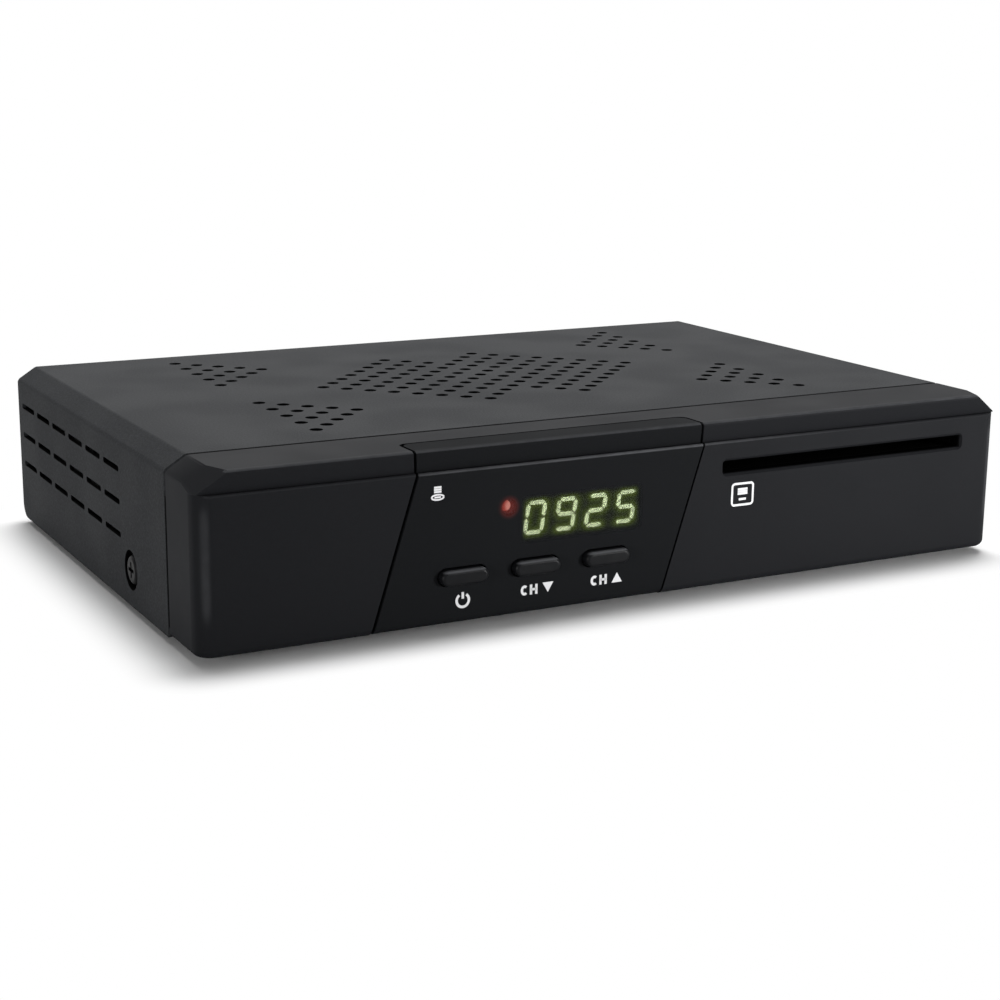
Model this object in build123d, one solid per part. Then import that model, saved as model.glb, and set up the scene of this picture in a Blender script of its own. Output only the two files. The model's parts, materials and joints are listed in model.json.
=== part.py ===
from build123d import *
import math
import os

# Satellite television receiver, in millimetres, +Z up, the front facing -Y.
#
# Every piece is drawn in a drawing frame with X = 0 on the centre line, Y = 0 on the front
# panel's face (positive towards the rear) and Z = 0 on the underside of the casing. save() then
# moves it so that the row's origin is the centre of the footprint, at the underside of the feet.

# ---------------------------------------------------------------- casing
BODY_WIDTH = 169.0
BODY_DEPTH = 111.0          # front face to the rear edge of the cover
BODY_HEIGHT = 31.7          # underside of the casing to the flat top
SHEET = 0.8                 # steel sheet of the cover and the chassis
BEVEL_WIDTH = 3.9           # bevel along the two long top edges
BEVEL_DROP = 2.5
BEND_RADIUS = 1.2
SEAM = 0.4                  # gap between the front panel and the cover
SEAM_CHAMFER = 0.3          # broken edges on both sides of the seam
FIT = 0.1                   # clearance between sheet parts that lie inside each other

# ---------------------------------------------------------------- front panel
PANEL_DEPTH = 14.5
WALL = 2.6
CORNER_RADIUS = 3.4
LEDGE_DROP = 3.95           # from the flat top down to the ledge below the set-back band
BAND_SETBACK = 1.0
TOP_EDGE_Y = -0.4           # the top front edge overhangs the face by this much
TOP_EDGE_ROUND = 0.6
LEDGE_ROUND = 0.5
BOTTOM_ROUND = 1.4
CORNER_CUT_IN = 2.2         # facet on each upper front corner: its reach across the top,
CORNER_CUT_BACK = 6.0       # along the bevel,
CORNER_CUT_LOW_Y = 2.2      # and where it meets the side at the ledge's height

# ---------------------------------------------------------------- display insert
INSERT_LEFT_TOP = -45.05    # left edge at the top, at the ledge and at the bottom
INSERT_LEFT_LEDGE = -44.35
INSERT_LEFT_BOTTOM = -53.15
INSERT_WIDTH = 57.8
INSERT_PROUD = 0.2
INSERT_BOTTOM_Z = 0.2
RECESS = 1.7                # how deep the insert sits in the front wall
LIP_DEPTH = 6.2             # how far the insert laps over the top
LIP_RECESS = 1.0
LIP_CORNER = 1.8
GROOVE = 0.55

# ---------------------------------------------------------------- controls
BUTTON_X = -21.7            # middle button
BUTTON_PITCH = 14.45
BUTTON_SHARE = 0.56036      # part of the face's spare height that lies under the switches
BUTTON_HOLE_WIDTH = 9.8
BUTTON_HOLE_HEIGHT = 3.4
BUTTON_GAP = 0.3
BUTTON_PROUD = 1.5
BUTTON_ROUND = 0.7
BUTTON_FLANGE = 1.0         # how far the retaining flange reaches past the hole
BUTTON_FLANGE_THICK = 0.8
BUTTON_TRAVEL = 0.5
PLAY = 0.2

# ---------------------------------------------------------------- display
DIGIT_COUNT = 4
DIGIT_PITCH = 6.25
DIGIT_HEIGHT = 6.1
DIGIT_WIDTH = 4.1
DIGIT_STROKE = 0.75
DIGIT_SLANT = 9.0
DIGIT_THICK = 0.15
SEGMENT_GAP = 0.12
DISPLAY_X = -12.05
DISPLAY_SHARE = 0.11203     # part of it between the switches and the display
DISPLAY_WIDTH = 26.4
DISPLAY_HEIGHT = 10.0
WINDOW_THICK = 0.6
LAMP_GAP = 1.8              # from the display's side to the lamp's middle
LAMP_RISE = 2.6             # above the display's middle
LAMP_RADIUS = 1.0
LAMP_COLLAR = 0.3
LAMP_COLLAR_THICK = 0.7
LAMP_STANDOFF = 1.5
LAMP_LEG_RADIUS = 0.25
LAMP_LEG_X = 0.6
RECEIVER_X = -41.0
RECEIVER_RISE = 5.5         # above the display's middle
RECEIVER_WIDTH = 6.0
RECEIVER_DEPTH = 3.6
RECEIVER_DOME = 2.1

# ---------------------------------------------------------------- card slot and reader
CARD_WIDTH = 53.98
CARD_PLAY = 2.5             # the slot is this much wider than the card
SLOT_WIDTH = CARD_WIDTH + CARD_PLAY
SLOT_HEIGHT = 2.2
SLOT_RIGHT_MARGIN = 9.65    # slot end to the casing's side
SLOT_DROP = 6.15            # from the ledge down to the slot's lower edge
SLOT_BEVEL = 0.6
SLOT_CORNER = 0.5
READER_DEPTH = 59.0
READER_WALL = 1.8
READER_FLOOR = 2.0
READER_LID = 0.6
READER_LEG = 4.0
CARD_CONTACT_COUNT = 8
CARD_CONTACT_PITCH = 2.54
CARD_CONTACT_WIDTH = 1.6
CARD_CONTACT_LENGTH = 6.5
CARD_CONTACT_THICK = 0.3
CARD_CONTACT_ROWS = 8.0     # from one row of contacts to the other
CARD_CONTACT_MARGIN = 24.0  # contacts' middle to the reader's rear
READER_WINDOW_WIDTH = 16.0
READER_WINDOW_FRONT = 8.0
READER_WINDOW_REAR = 38.0
READER_LEG_Y = 36.0         # front legs
READER_RIB_X = 18.0
READER_RIB_WIDTH = 2.4
READER_RIB_HEIGHT = 0.5
READER_HOLE_WIDTH = 20.0
READER_HOLE_LENGTH = 26.0
DETECT_X = 17.0
DETECT_WIDTH = 6.0
DETECT_DEPTH = 4.0
DETECT_HEIGHT = 1.8

# ---------------------------------------------------------------- vents
VENT_PITCH = 5.0            # hole pitch along the 45 degree rows
VENT_RADIUS = 1.25
VENT_ROWS = 11              # rows of the large field
VENT_NOTCH = 3              # holes that the field's front and rear corners lack
VENT_TRIANGLE = 5           # holes along the base of each small triangle
VENT_TRIANGLE_BASE = 31.5   # triangle base line to the casing's side
VENT_FIELD_Y = 63.0
VENT_FRONT_Y = 38.6
VENT_REAR_MARGIN = 23.0     # rear triangles' middle to the rear edge
SIDE_SLOT_LENGTH = 9.4
SIDE_SLOT_HEIGHT = 1.1
SIDE_SLOT_PITCH = 11.56
SIDE_SLOT_COUNT = 6
SIDE_SLOT_ROWS = 3
SIDE_SLOT_ROW_PITCH = 6.1
SIDE_SLOT_DROP = 7.5        # from the flat top down to the upper row
SIDE_SLOT_REAR_MARGIN = 3.0
FLOOR_VENT_COUNT = 12
FLOOR_VENT_PITCH = 6.0
FLOOR_VENT_LENGTH = 24.0
FLOOR_VENT_WIDTH = 2.0
FLOOR_VENT_X = -12.0        # first floor vent
FLOOR_VENT_Y = 63.5

# ---------------------------------------------------------------- chassis and fasteners
FLANGE_HEIGHT = 12.0
STANDOFF_HEIGHT = 5.0
STANDOFF_RADIUS = 3.0
STANDOFF_EDGE = 5.5         # stand-off's middle to the board's side
STANDOFF_CLEAR = 6.0        # stand-off's middle to the piece it keeps clear of
FLANGE_GAP = 0.2
SIDE_SCREW_Y = 35.4
SIDE_SCREW_Z = 6.8
DIMPLE_RADIUS = 3.7
DIMPLE_DEPTH = 1.5
COVER_CORNER = 3.0          # rounding of the cover's lower rear corners
REAR_LIP_HEIGHT = 6.0
REAR_LIP_MARGIN = 5.0
REAR_SCREW_MARGIN = 18.5
PANEL_SCREW_MARGIN = 14.5
PANEL_SCREW_Z = 6.0
PANEL_SCREW_CLEAR = 5.0     # middle screw to the front board's side
PANEL_SCREW_LENGTH = 7.0
PANEL_BOSS_RADIUS = 2.8
PANEL_BOSS_BORE = 8.0
BOARD_SCREW_LENGTH = 5.0
BOARD_SCREW_EDGE = 3.2
BOARD_BOSS_RADIUS = 2.2
BOARD_BOSS_GAP = 0.3        # between the display and the boss above it
TONGUE_WIDTH = 12.0         # tongues of the panel that reach under the cover
TONGUE_REACH = 3.5
TONGUE_THICK = 1.2
SCREW_RADIUS = 1.4
SCREW_HEAD_RADIUS = 2.7
SCREW_HEAD_THICK = 1.5
SCREW_LENGTH = 5.0
CROSS_LENGTH = 1.1          # cross recess, as parts of the head's radius and thickness
CROSS_WIDTH = 0.25
CROSS_FLOOR = 0.4
SMALL_SCREW_RADIUS = 1.0
SMALL_SCREW_HEAD_RADIUS = 1.9
SMALL_SCREW_HEAD_THICK = 1.2
SCREW_NOTCH = 4.0           # notch in the main board round the end of a side screw
THREAD_GAP = 0.05
HOLE_GAP = 0.2
ROOT = 0.5                  # how far a boss or a leg is sunk into what carries it
OVER = 1.0                  # how far a cutter runs past the surface it cuts
FAR = 5.0                   # how far the insert's outlines run past it
FOOT_RADIUS = 5.0
FOOT_HEIGHT = 1.2
FOOT_SIDE_MARGIN = 16.5
FOOT_FRONT_Y = 26.0
FOOT_REAR_MARGIN = 13.0

# ---------------------------------------------------------------- boards
BOARD_THICK = 1.6
BOARD_SIDE_GAP = 1.2
BOARD_FRONT_Y = 20.0
BOARD_REAR_GAP = 0.6
FRONT_BOARD_Y = 8.2         # face of the front board that carries the display
FRONT_BOARD_LEFT = -50.0
FRONT_BOARD_RIGHT = 9.0
FRONT_BOARD_BOTTOM = 4.0
SWITCH_SIZE = 6.0
SWITCH_DEPTH = 3.8
PLUNGER_RADIUS = 1.7
PLUNGER_LENGTH = 1.8
SLIDE_GAP = 0.1

# ---------------------------------------------------------------- rear sockets
TUNER_WIDTH = 36.0
TUNER_DEPTH = 36.0
TUNER_HEIGHT = 14.0
TUNER_SHEET = 0.6
TUNER_SIDE_GAP = 1.5
TUNER_LID_THICK = 0.4
TUNER_RIM_HEIGHT = 4.0
TUNER_RIM_MARGIN = 2.0
TUNER_HOLE_RADIUS = 1.5
F_PITCH = 18.0
F_RADIUS = 4.76             # 3/8 inch thread
F_ROOT_RADIUS = 4.4         # at the foot of the thread
F_BORE = 3.5
F_CHAMFER = 0.4
F_PIN_HOLE = 0.6
F_PIN_DEPTH = 6.0
F_INSULATOR_SETBACK = 0.3
F_REACH = 9.5               # beyond the rear wall
F_CENTRE_HEIGHT = 7.0       # above the board
F_NUT_FLATS = 11.0
F_NUT_THICK = 2.0
F_WASHER_THICK = 0.4
F_WASHER_RADIUS = 6.0
DATA_WIDTH = 14.4
DATA_HEIGHT = 7.0
DATA_DEPTH = 14.0
DATA_SLOPE = 0.3
DATA_TONGUE_WIDTH = 11.0
DATA_TONGUE_THICK = 1.9
DATA_TONGUE_DROP = 1.0
VIDEO_WIDTH = 15.0
VIDEO_HEIGHT = 6.0
VIDEO_DEPTH = 12.0
VIDEO_SLOPE = 1.6
VIDEO_TONGUE_WIDTH = 11.6
VIDEO_TONGUE_THICK = 1.6
VIDEO_TONGUE_RISE = 0.3
SHELL = 0.4
SOCKET_PROUD = 0.3          # sockets stand this far out of the rear wall
TONGUE_SETBACK = 1.0
AUDIO_WIDTH = 10.0
AUDIO_HEIGHT = 12.0
AUDIO_DEPTH = 9.0
AUDIO_SLEEVE_RADIUS = 4.15
AUDIO_SLEEVE_REACH = 8.0
AUDIO_SLEEVE_WALL = 0.5
AUDIO_CORE_SETBACK = 0.5
AUDIO_BORE = 1.6
AV_WIDTH = 54.0
AV_HEIGHT = 16.5
AV_DEPTH = 15.0
AV_PITCH = 3.81
AV_CONTACTS_PER_ROW = 10
AV_ROW_OFFSET = 2.6
AV_RING_WIDTH = 50.0        # outer size of the groove for the plug's shell
AV_RING_HEIGHT = 14.0
AV_RING = 1.8
AV_RING_DEPTH = 9.0
AV_SLANT = 4.0
AV_SLOT_WIDTH = 1.2
AV_SLOT_HEIGHT = 3.8
AV_SLOT_DEPTH = 11.0
AV_BLADE_THICK = 0.5
AV_BLADE_HEIGHT = 3.0
DC_WIDTH = 9.0
DC_HEIGHT = 11.0
DC_DEPTH = 14.0
DC_BORE = 3.1
DC_BORE_DEPTH = 10.0
DC_PIN_RADIUS = 1.0
PIN_SETBACK = 1.5
DC_SIDE_GAP = 3.0
SOCKET_SPACING = 3.6

# ---------------------------------------------------------------- derived places
HALF_WIDTH = BODY_WIDTH / 2
LEDGE_Z = BODY_HEIGHT - LEDGE_DROP
SIDE_SLOT_TOP_Z = BODY_HEIGHT - SIDE_SLOT_DROP
SLOT_Z = LEDGE_Z - SLOT_DROP
REAR_WALL_OUTER = BODY_DEPTH - SHEET
REAR_WALL_INNER = REAR_WALL_OUTER - SHEET
CHASSIS_HALF = HALF_WIDTH - SHEET - DIMPLE_DEPTH
BOARD_HALF = CHASSIS_HALF - SHEET - BOARD_SIDE_GAP
BOARD_BOTTOM = SHEET + STANDOFF_HEIGHT
BOARD_TOP = BOARD_BOTTOM + BOARD_THICK
BOARD_REAR_Y = REAR_WALL_INNER - BOARD_REAR_GAP
FRONT_FLANGE_Y = PANEL_DEPTH + FLANGE_GAP
# a switch, the display and the boss above it stand on each other in the panel; what is left
# of its inner height is shared out between them
SWITCH_TALL = max(SWITCH_SIZE, BUTTON_HOLE_HEIGHT + 2 * BUTTON_FLANGE)
BOSS_STACK = BOARD_BOSS_GAP + 2 * BOARD_BOSS_RADIUS
SPARE = BODY_HEIGHT - 2 * WALL - SWITCH_TALL - DISPLAY_HEIGHT - BOSS_STACK
BUTTON_Z = WALL + BUTTON_SHARE * SPARE + SWITCH_TALL / 2
DISPLAY_Z = BUTTON_Z + SWITCH_TALL / 2 + DISPLAY_SHARE * SPARE + DISPLAY_HEIGHT / 2
FRONT_BOARD_TOP = DISPLAY_Z + DISPLAY_HEIGHT / 2 + BOSS_STACK
LAMP_X = DISPLAY_X - DISPLAY_WIDTH / 2 - LAMP_GAP
LAMP_Z = DISPLAY_Z + LAMP_RISE
RECEIVER_Z = DISPLAY_Z + RECEIVER_RISE
INSERT_FACE_Y = -INSERT_PROUD
DISPLAY_FACE_Y = INSERT_FACE_Y + WINDOW_THICK + SLIDE_GAP
BUTTON_FRONT_Y = INSERT_FACE_Y - BUTTON_PROUD
BUTTON_FLANGE_Y = WALL + PLAY
PLUNGER_FRONT_Y = BUTTON_FLANGE_Y + BUTTON_FLANGE_THICK
SWITCH_FRONT_Y = FRONT_BOARD_Y - SWITCH_DEPTH
SLOT_X = HALF_WIDTH - SLOT_RIGHT_MARGIN - SLOT_WIDTH / 2
READER_FRONT_Y = WALL + PLAY
READER_REAR_Y = READER_FRONT_Y + READER_DEPTH
READER_HALF = SLOT_WIDTH / 2 + READER_WALL
READER_TOP = SLOT_Z + SLOT_HEIGHT
TUNER_LEFT = -BOARD_HALF + TUNER_SIDE_GAP
TUNER_REAR_Y = REAR_WALL_INNER - PLAY
F_Z = BOARD_TOP + F_CENTRE_HEIGHT
F_IN_X = TUNER_LEFT + TUNER_WIDTH / 2 - F_PITCH / 2
F_OUT_X = F_IN_X + F_PITCH
DATA_X = TUNER_LEFT + TUNER_WIDTH + SOCKET_SPACING + DATA_WIDTH / 2
VIDEO_X = DATA_X + DATA_WIDTH / 2 + SOCKET_SPACING + VIDEO_WIDTH / 2
AUDIO_X = VIDEO_X + VIDEO_WIDTH / 2 + SOCKET_SPACING + AUDIO_WIDTH / 2
AV_X = AUDIO_X + AUDIO_WIDTH / 2 + SOCKET_SPACING + AV_WIDTH / 2
DC_X = BOARD_HALF - DC_WIDTH / 2 - DC_SIDE_GAP
FRONT_REACH = -BUTTON_FRONT_Y
REAR_REACH = REAR_WALL_OUTER + F_REACH
F_NUT_REAR = REAR_WALL_OUTER + F_WASHER_THICK + F_NUT_THICK
MIDDLE_Y = (REAR_REACH - FRONT_REACH) / 2


# ================================================================ drawing helpers
def block(x0, x1, y0, y1, z0, z1):
    """A box given by its two corners."""
    centre = Pos((x0 + x1) / 2, (y0 + y1) / 2, (z0 + z1) / 2)
    return centre * Box(x1 - x0, y1 - y0, z1 - z0)


def post(x, y, z0, z1, radius):
    """A round pin standing along Z."""
    return Pos(x, y, (z0 + z1) / 2) * Cylinder(radius, z1 - z0)


def rod(x, z, y0, y1, radius):
    """A round pin lying along Y."""
    return Pos(x, (y0 + y1) / 2, z) * Rot(90, 0, 0) * Cylinder(radius, y1 - y0)


def bar(y, z, x0, x1, radius):
    """A round pin lying along X."""
    return Pos((x0 + x1) / 2, y, z) * Rot(0, 90, 0) * Cylinder(radius, abs(x1 - x0))


def along_y(sketch, y0, y1):
    """Extrude a sketch drawn in X and Z from y0 to y1."""
    plane = Plane(origin=(0, y1, 0), x_dir=(1, 0, 0), z_dir=(0, -1, 0))
    return extrude(plane * sketch, y1 - y0)


def along_x(sketch, x0, x1):
    """Extrude a sketch drawn in Y and Z from x0 to x1."""
    plane = Plane(origin=(x0, 0, 0), x_dir=(0, 1, 0), z_dir=(1, 0, 0))
    return extrude(plane * sketch, x1 - x0)


def along_z(sketch, z0, z1):
    """Extrude a sketch drawn in X and Y from z0 to z1."""
    return extrude(Pos(0, 0, z0) * sketch, z1 - z0)


def outline(*points):
    """A flat face with straight edges through the points."""
    return make_face(Polyline(*points, close=True))


def pill(x, z, width, height):
    """A lying slot with round ends, drawn in X and Z."""
    return Pos(x, z) * SlotOverall(width, height)


def grown(sketch, amount):
    """The sketch with every side moved out by amount, corners kept sharp."""
    return offset(sketch, amount, kind=Kind.INTERSECTION)


def save(name, shape):
    """Move a piece from the drawing frame to the row frame and write it."""
    solids = (Pos(0, -MIDDLE_Y, FOOT_HEIGHT) * shape).solids()
    export_step(Compound(children=list(solids)), f"parts/{name}.step")


def solids_of(pieces):
    """Several separate solids kept together as one group."""
    return Compound(children=[solid for piece in pieces for solid in piece.solids()])


# ================================================================ casing sections
def casing_section():
    """The casing's cross-section in X and Z: a box with two bevelled, rounded top edges."""
    half = HALF_WIDTH
    shoulder = BODY_HEIGHT - BEVEL_DROP
    face = outline(
        (-half, 0),
        (-half, shoulder),
        (-half + BEVEL_WIDTH, BODY_HEIGHT),
        (half - BEVEL_WIDTH, BODY_HEIGHT),
        (half, shoulder),
        (half, 0),
    )
    bends = face.vertices().filter_by(lambda v: v.Y > shoulder - OVER)
    return fillet(bends, BEND_RADIUS)


def vent_points():
    """Centres of the top vent holes in X and Y: one notched square field on its corner and
    four triangles whose bases lie towards the casing's sides."""
    step = VENT_PITCH / math.sqrt(2)
    middle = VENT_ROWS - 1
    last = middle - VENT_NOTCH
    points = []
    for i in range(VENT_ROWS):
        for j in range(VENT_ROWS):
            rear_corner = i > last and j < VENT_NOTCH
            front_corner = j > last and i < VENT_NOTCH
            if not rear_corner and not front_corner:
                points.append((step * (i + j - middle), VENT_FIELD_Y + step * (i - j)))
    base = HALF_WIDTH - VENT_TRIANGLE_BASE
    for centre_y in (VENT_FRONT_Y, BODY_DEPTH - VENT_REAR_MARGIN):
        for column in range(VENT_TRIANGLE):
            count = VENT_TRIANGLE - column
            for k in range(count):
                y = centre_y + step * (count - 1 - 2 * k)
                points.append((base - step * column, y))
                points.append((-base + step * column, y))
    return points


def side_slots():
    """Cutters for the rows of slots through both side walls."""
    first = BODY_DEPTH - SIDE_SLOT_REAR_MARGIN - SIDE_SLOT_LENGTH / 2
    slots = Sketch()
    for row in range(SIDE_SLOT_ROWS):
        z = SIDE_SLOT_TOP_Z - row * SIDE_SLOT_ROW_PITCH
        for k in range(SIDE_SLOT_COUNT):
            y = first - k * SIDE_SLOT_PITCH
            slots += Pos(y, z) * SlotOverall(SIDE_SLOT_LENGTH, SIDE_SLOT_HEIGHT)
    return along_x(slots, -HALF_WIDTH - OVER, HALF_WIDTH + OVER)


def top_cover():
    """Folded sheet cover: top, bevels and sides, with a lip folded down over the rear wall."""
    outer = casing_section()
    inner = offset(outer, -SHEET)
    inner += Pos(0, 0) * Rectangle(2 * (HALF_WIDTH - SHEET), 8 * SHEET)
    front = PANEL_DEPTH + SEAM
    cover = along_y(outer, front, BODY_DEPTH)
    cover = chamfer(edges_at_y(cover, front), SEAM_CHAMFER)
    cover -= along_y(inner, front - OVER, BODY_DEPTH + OVER)

    lip_half = HALF_WIDTH - BEVEL_WIDTH - REAR_LIP_MARGIN
    cover += block(-lip_half, lip_half, REAR_WALL_OUTER, BODY_DEPTH,
                   BODY_HEIGHT - REAR_LIP_HEIGHT, BODY_HEIGHT - SHEET / 2)

    holes = Sketch() + [Pos(x, y) * Circle(VENT_RADIUS) for x, y in vent_points()]
    cover -= along_z(holes, BODY_HEIGHT - 2 * SHEET, BODY_HEIGHT + OVER)
    cover -= side_slots()

    # the side walls' lower rear corners are rounded off
    keep = Pos(BODY_DEPTH / 2, BODY_HEIGHT / 2) * Rectangle(BODY_DEPTH, BODY_HEIGHT)
    lower_rear = keep.vertices().filter_by(lambda v: v.X > OVER and v.Y < OVER)
    cover &= along_x(fillet(lower_rear, COVER_CORNER), -HALF_WIDTH, HALF_WIDTH)

    # pressed dimples that bring the side screws' seats against the chassis
    for side in (-1, 1):
        wall = side * HALF_WIDTH
        cup = wall - side * (SHEET + DIMPLE_DEPTH)
        cover += bar(SIDE_SCREW_Y, SIDE_SCREW_Z, wall - side * SHEET / 2, cup,
                     DIMPLE_RADIUS + SHEET)
        cover -= bar(SIDE_SCREW_Y, SIDE_SCREW_Z, wall + side * OVER,
                     wall - side * DIMPLE_DEPTH,
                     DIMPLE_RADIUS)
        cover -= bar(SIDE_SCREW_Y, SIDE_SCREW_Z, wall, cup - side * OVER,
                     SCREW_RADIUS + HOLE_GAP)

    for x in rear_screw_places():
        cover -= rod(x, rear_screw_z(), REAR_WALL_OUTER - OVER, BODY_DEPTH + OVER,
                     SCREW_RADIUS + HOLE_GAP)
    for opening in rear_openings():
        cover -= opening
    return cover


def rear_screw_places():
    """X of the two screws through the cover's rear lip."""
    x = HALF_WIDTH - REAR_SCREW_MARGIN
    return (-x, x)


def rear_screw_z():
    """Height of the screws through the cover's rear lip."""
    return BODY_HEIGHT - REAR_LIP_HEIGHT / 2 - SHEET / 2


# ================================================================ chassis
def main_screw_places():
    """X and Y of the five stand-offs: clear of the tuner, the reader's legs and the sockets."""
    edge = BOARD_HALF - STANDOFF_EDGE
    front = BOARD_FRONT_Y + STANDOFF_CLEAR
    return (
        (-edge, front),
        (edge, front),
        (-edge, TUNER_REAR_Y - TUNER_DEPTH - STANDOFF_CLEAR),
        (edge, REAR_WALL_OUTER - DC_DEPTH - STANDOFF_CLEAR),
        (DATA_X, REAR_WALL_OUTER - DATA_DEPTH - STANDOFF_CLEAR),
    )


def panel_screw_places():
    """X of the three screws that hold the front panel to the chassis."""
    outer = HALF_WIDTH - PANEL_SCREW_MARGIN
    return (-outer, FRONT_BOARD_RIGHT + PANEL_SCREW_CLEAR, outer)


def base_chassis():
    """Folded sheet tray: floor, side and front flanges, rear wall and raised stand-offs."""
    half = CHASSIS_HALF
    front = FRONT_FLANGE_Y
    tray = block(-half, half, front, REAR_WALL_OUTER, 0, SHEET)
    tray += block(-half, half, front, front + SHEET, 0, FLANGE_HEIGHT)
    for side in (-1, 1):
        inner = side * (half - SHEET)
        x0, x1 = sorted((side * half, inner))
        tray += block(x0, x1, front, REAR_WALL_OUTER, 0, FLANGE_HEIGHT)

    # rear wall: it fills the space under the cover, so that no light shows past its ends
    under_cover = offset(casing_section(), -(SHEET + FIT))
    tray += along_y(under_cover, REAR_WALL_INNER, REAR_WALL_OUTER)
    tray += block(-half, half, REAR_WALL_INNER, REAR_WALL_OUTER, 0, FLANGE_HEIGHT)

    for x, y in main_screw_places():
        tray += post(x, y, SHEET / 2, BOARD_BOTTOM, STANDOFF_RADIUS)
        tray -= post(x, y, SHEET + HOLE_GAP, BOARD_BOTTOM + OVER, SCREW_RADIUS + THREAD_GAP)

    for side in (-1, 1):
        tray -= bar(SIDE_SCREW_Y, SIDE_SCREW_Z, side * (half + OVER),
                    side * (half - SHEET - OVER),
                    SCREW_RADIUS + THREAD_GAP)
    for x in panel_screw_places():
        tray -= rod(x, PANEL_SCREW_Z, front - OVER, front + SHEET + OVER,
                    SMALL_SCREW_RADIUS + HOLE_GAP)
    for x in rear_screw_places():
        tray -= rod(x, rear_screw_z(), REAR_WALL_INNER - OVER, REAR_WALL_OUTER + OVER,
                    SCREW_RADIUS + THREAD_GAP)

    for opening in rear_openings():
        tray -= opening

    # floor vents under the main board
    vents = Sketch()
    for k in range(FLOOR_VENT_COUNT):
        place = Pos(FLOOR_VENT_X + k * FLOOR_VENT_PITCH, FLOOR_VENT_Y)
        vents += place * SlotOverall(FLOOR_VENT_LENGTH, FLOOR_VENT_WIDTH, rotation=90)
    tray -= along_z(vents, -OVER, SHEET + OVER)
    return tray


def rear_openings():
    """Cutters for the sockets' openings, through the rear wall and the cover's lip over it."""
    inside = REAR_WALL_INNER - OVER
    outside = BODY_DEPTH + OVER
    cutters = [rod(x, F_Z, inside, outside, F_RADIUS + HOLE_GAP) for x in (F_IN_X, F_OUT_X)]
    cutters.append(rod(AUDIO_X, audio_z(), inside, outside, AUDIO_SLEEVE_RADIUS + HOLE_GAP))
    for x, width, height in (
        (DATA_X, DATA_WIDTH, DATA_HEIGHT),
        (VIDEO_X, VIDEO_WIDTH, VIDEO_HEIGHT),
        (AV_X, AV_WIDTH, AV_HEIGHT),
        (DC_X, DC_WIDTH, DC_HEIGHT),
    ):
        cutters.append(block(x - width / 2 - HOLE_GAP, x + width / 2 + HOLE_GAP,
                             inside, outside, BOARD_TOP - HOLE_GAP,
                             BOARD_TOP + height + HOLE_GAP))
    return cutters


def rubber_feet():
    """Four round feet stuck under the floor."""
    x = HALF_WIDTH - FOOT_SIDE_MARGIN
    rear = BODY_DEPTH - FOOT_REAR_MARGIN
    feet = []
    for place_x in (-x, x):
        for y in (FOOT_FRONT_Y, rear):
            foot = post(place_x, y, -FOOT_HEIGHT, 0, FOOT_RADIUS)
            rim = foot.edges().filter_by(GeomType.CIRCLE).sort_by(Axis.Z)[0]
            feet.append(fillet(rim, FOOT_HEIGHT / 3))
    return solids_of(feet)


# ================================================================ front panel
def plan(inset, front, rear):
    """The front panel seen from above, with rounded front corners."""
    half = HALF_WIDTH - inset
    face = outline((-half, front), (half, front), (half, rear), (-half, rear))
    front_corners = face.vertices().filter_by(lambda v: v.Y < front + 0.01)
    return fillet(front_corners, CORNER_RADIUS - inset)


def edges_at_y(shape, y):
    """The edges of a shape that lie in the plane at y."""
    return shape.edges().filter_by_position(Axis.Y, y - 0.01, y + 0.01)


def front_profile(face_y, bottom, bottom_round, rear):
    """The front's outline in Y and Z: an upright face, a ledge, and above it a band that leans
    forward to the rounded top edge."""
    profile = outline(
        (face_y, bottom),
        (face_y, LEDGE_Z),
        (BAND_SETBACK, LEDGE_Z),
        (TOP_EDGE_Y, BODY_HEIGHT),
        (rear, BODY_HEIGHT),
        (rear, bottom),
    )

    def corner(y, z):
        return profile.vertices().filter_by(lambda v: math.hypot(v.X - y, v.Y - z) < 0.01)

    profile = fillet(corner(face_y, LEDGE_Z), LEDGE_ROUND)
    profile = fillet(corner(TOP_EDGE_Y, BODY_HEIGHT), TOP_EDGE_ROUND)
    if bottom_round:
        profile = fillet(corner(face_y, bottom), bottom_round)
    return profile


def corner_cutter(side):
    """A slanting half-space that takes off one upper front corner."""
    edge = HALF_WIDTH - BEVEL_WIDTH
    across = Vector(side * (edge - CORNER_CUT_IN), TOP_EDGE_Y, BODY_HEIGHT)
    back = Vector(side * edge, TOP_EDGE_Y + CORNER_CUT_BACK, BODY_HEIGHT)
    low = Vector(side * HALF_WIDTH, CORNER_CUT_LOW_Y, LEDGE_Z)
    outward = (back - across).cross(low - across) * -side
    plane = Plane(origin=low, z_dir=outward)
    size = 4 * CORNER_RADIUS + 4 * CORNER_CUT_BACK
    return plane * Pos(0, 0, size / 2) * Box(size, size, size)


def panel_block():
    """The front panel before it is hollowed: its upper part overhangs its lower part."""
    section = casing_section()
    lower = along_y(section, 0, PANEL_DEPTH)
    lower &= along_z(plan(0, 0, PANEL_DEPTH), 0, LEDGE_Z)
    rim = lower.edges().filter_by_position(Axis.Z, -0.01, 0.01)
    lower = fillet(rim.filter_by(lambda e: e.center().Y < PANEL_DEPTH - 0.1), BOTTOM_ROUND)
    upper = along_y(section, TOP_EDGE_Y, PANEL_DEPTH)
    upper &= along_z(plan(0, TOP_EDGE_Y, PANEL_DEPTH), LEDGE_Z, BODY_HEIGHT)
    for side in (-1, 1):
        upper -= corner_cutter(side)
    whole = lower + upper
    whole = chamfer(edges_at_y(whole, PANEL_DEPTH), SEAM_CHAMFER)
    profile = front_profile(0, 0, 0, PANEL_DEPTH)
    return whole & along_x(profile, -HALF_WIDTH, HALF_WIDTH)


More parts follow.
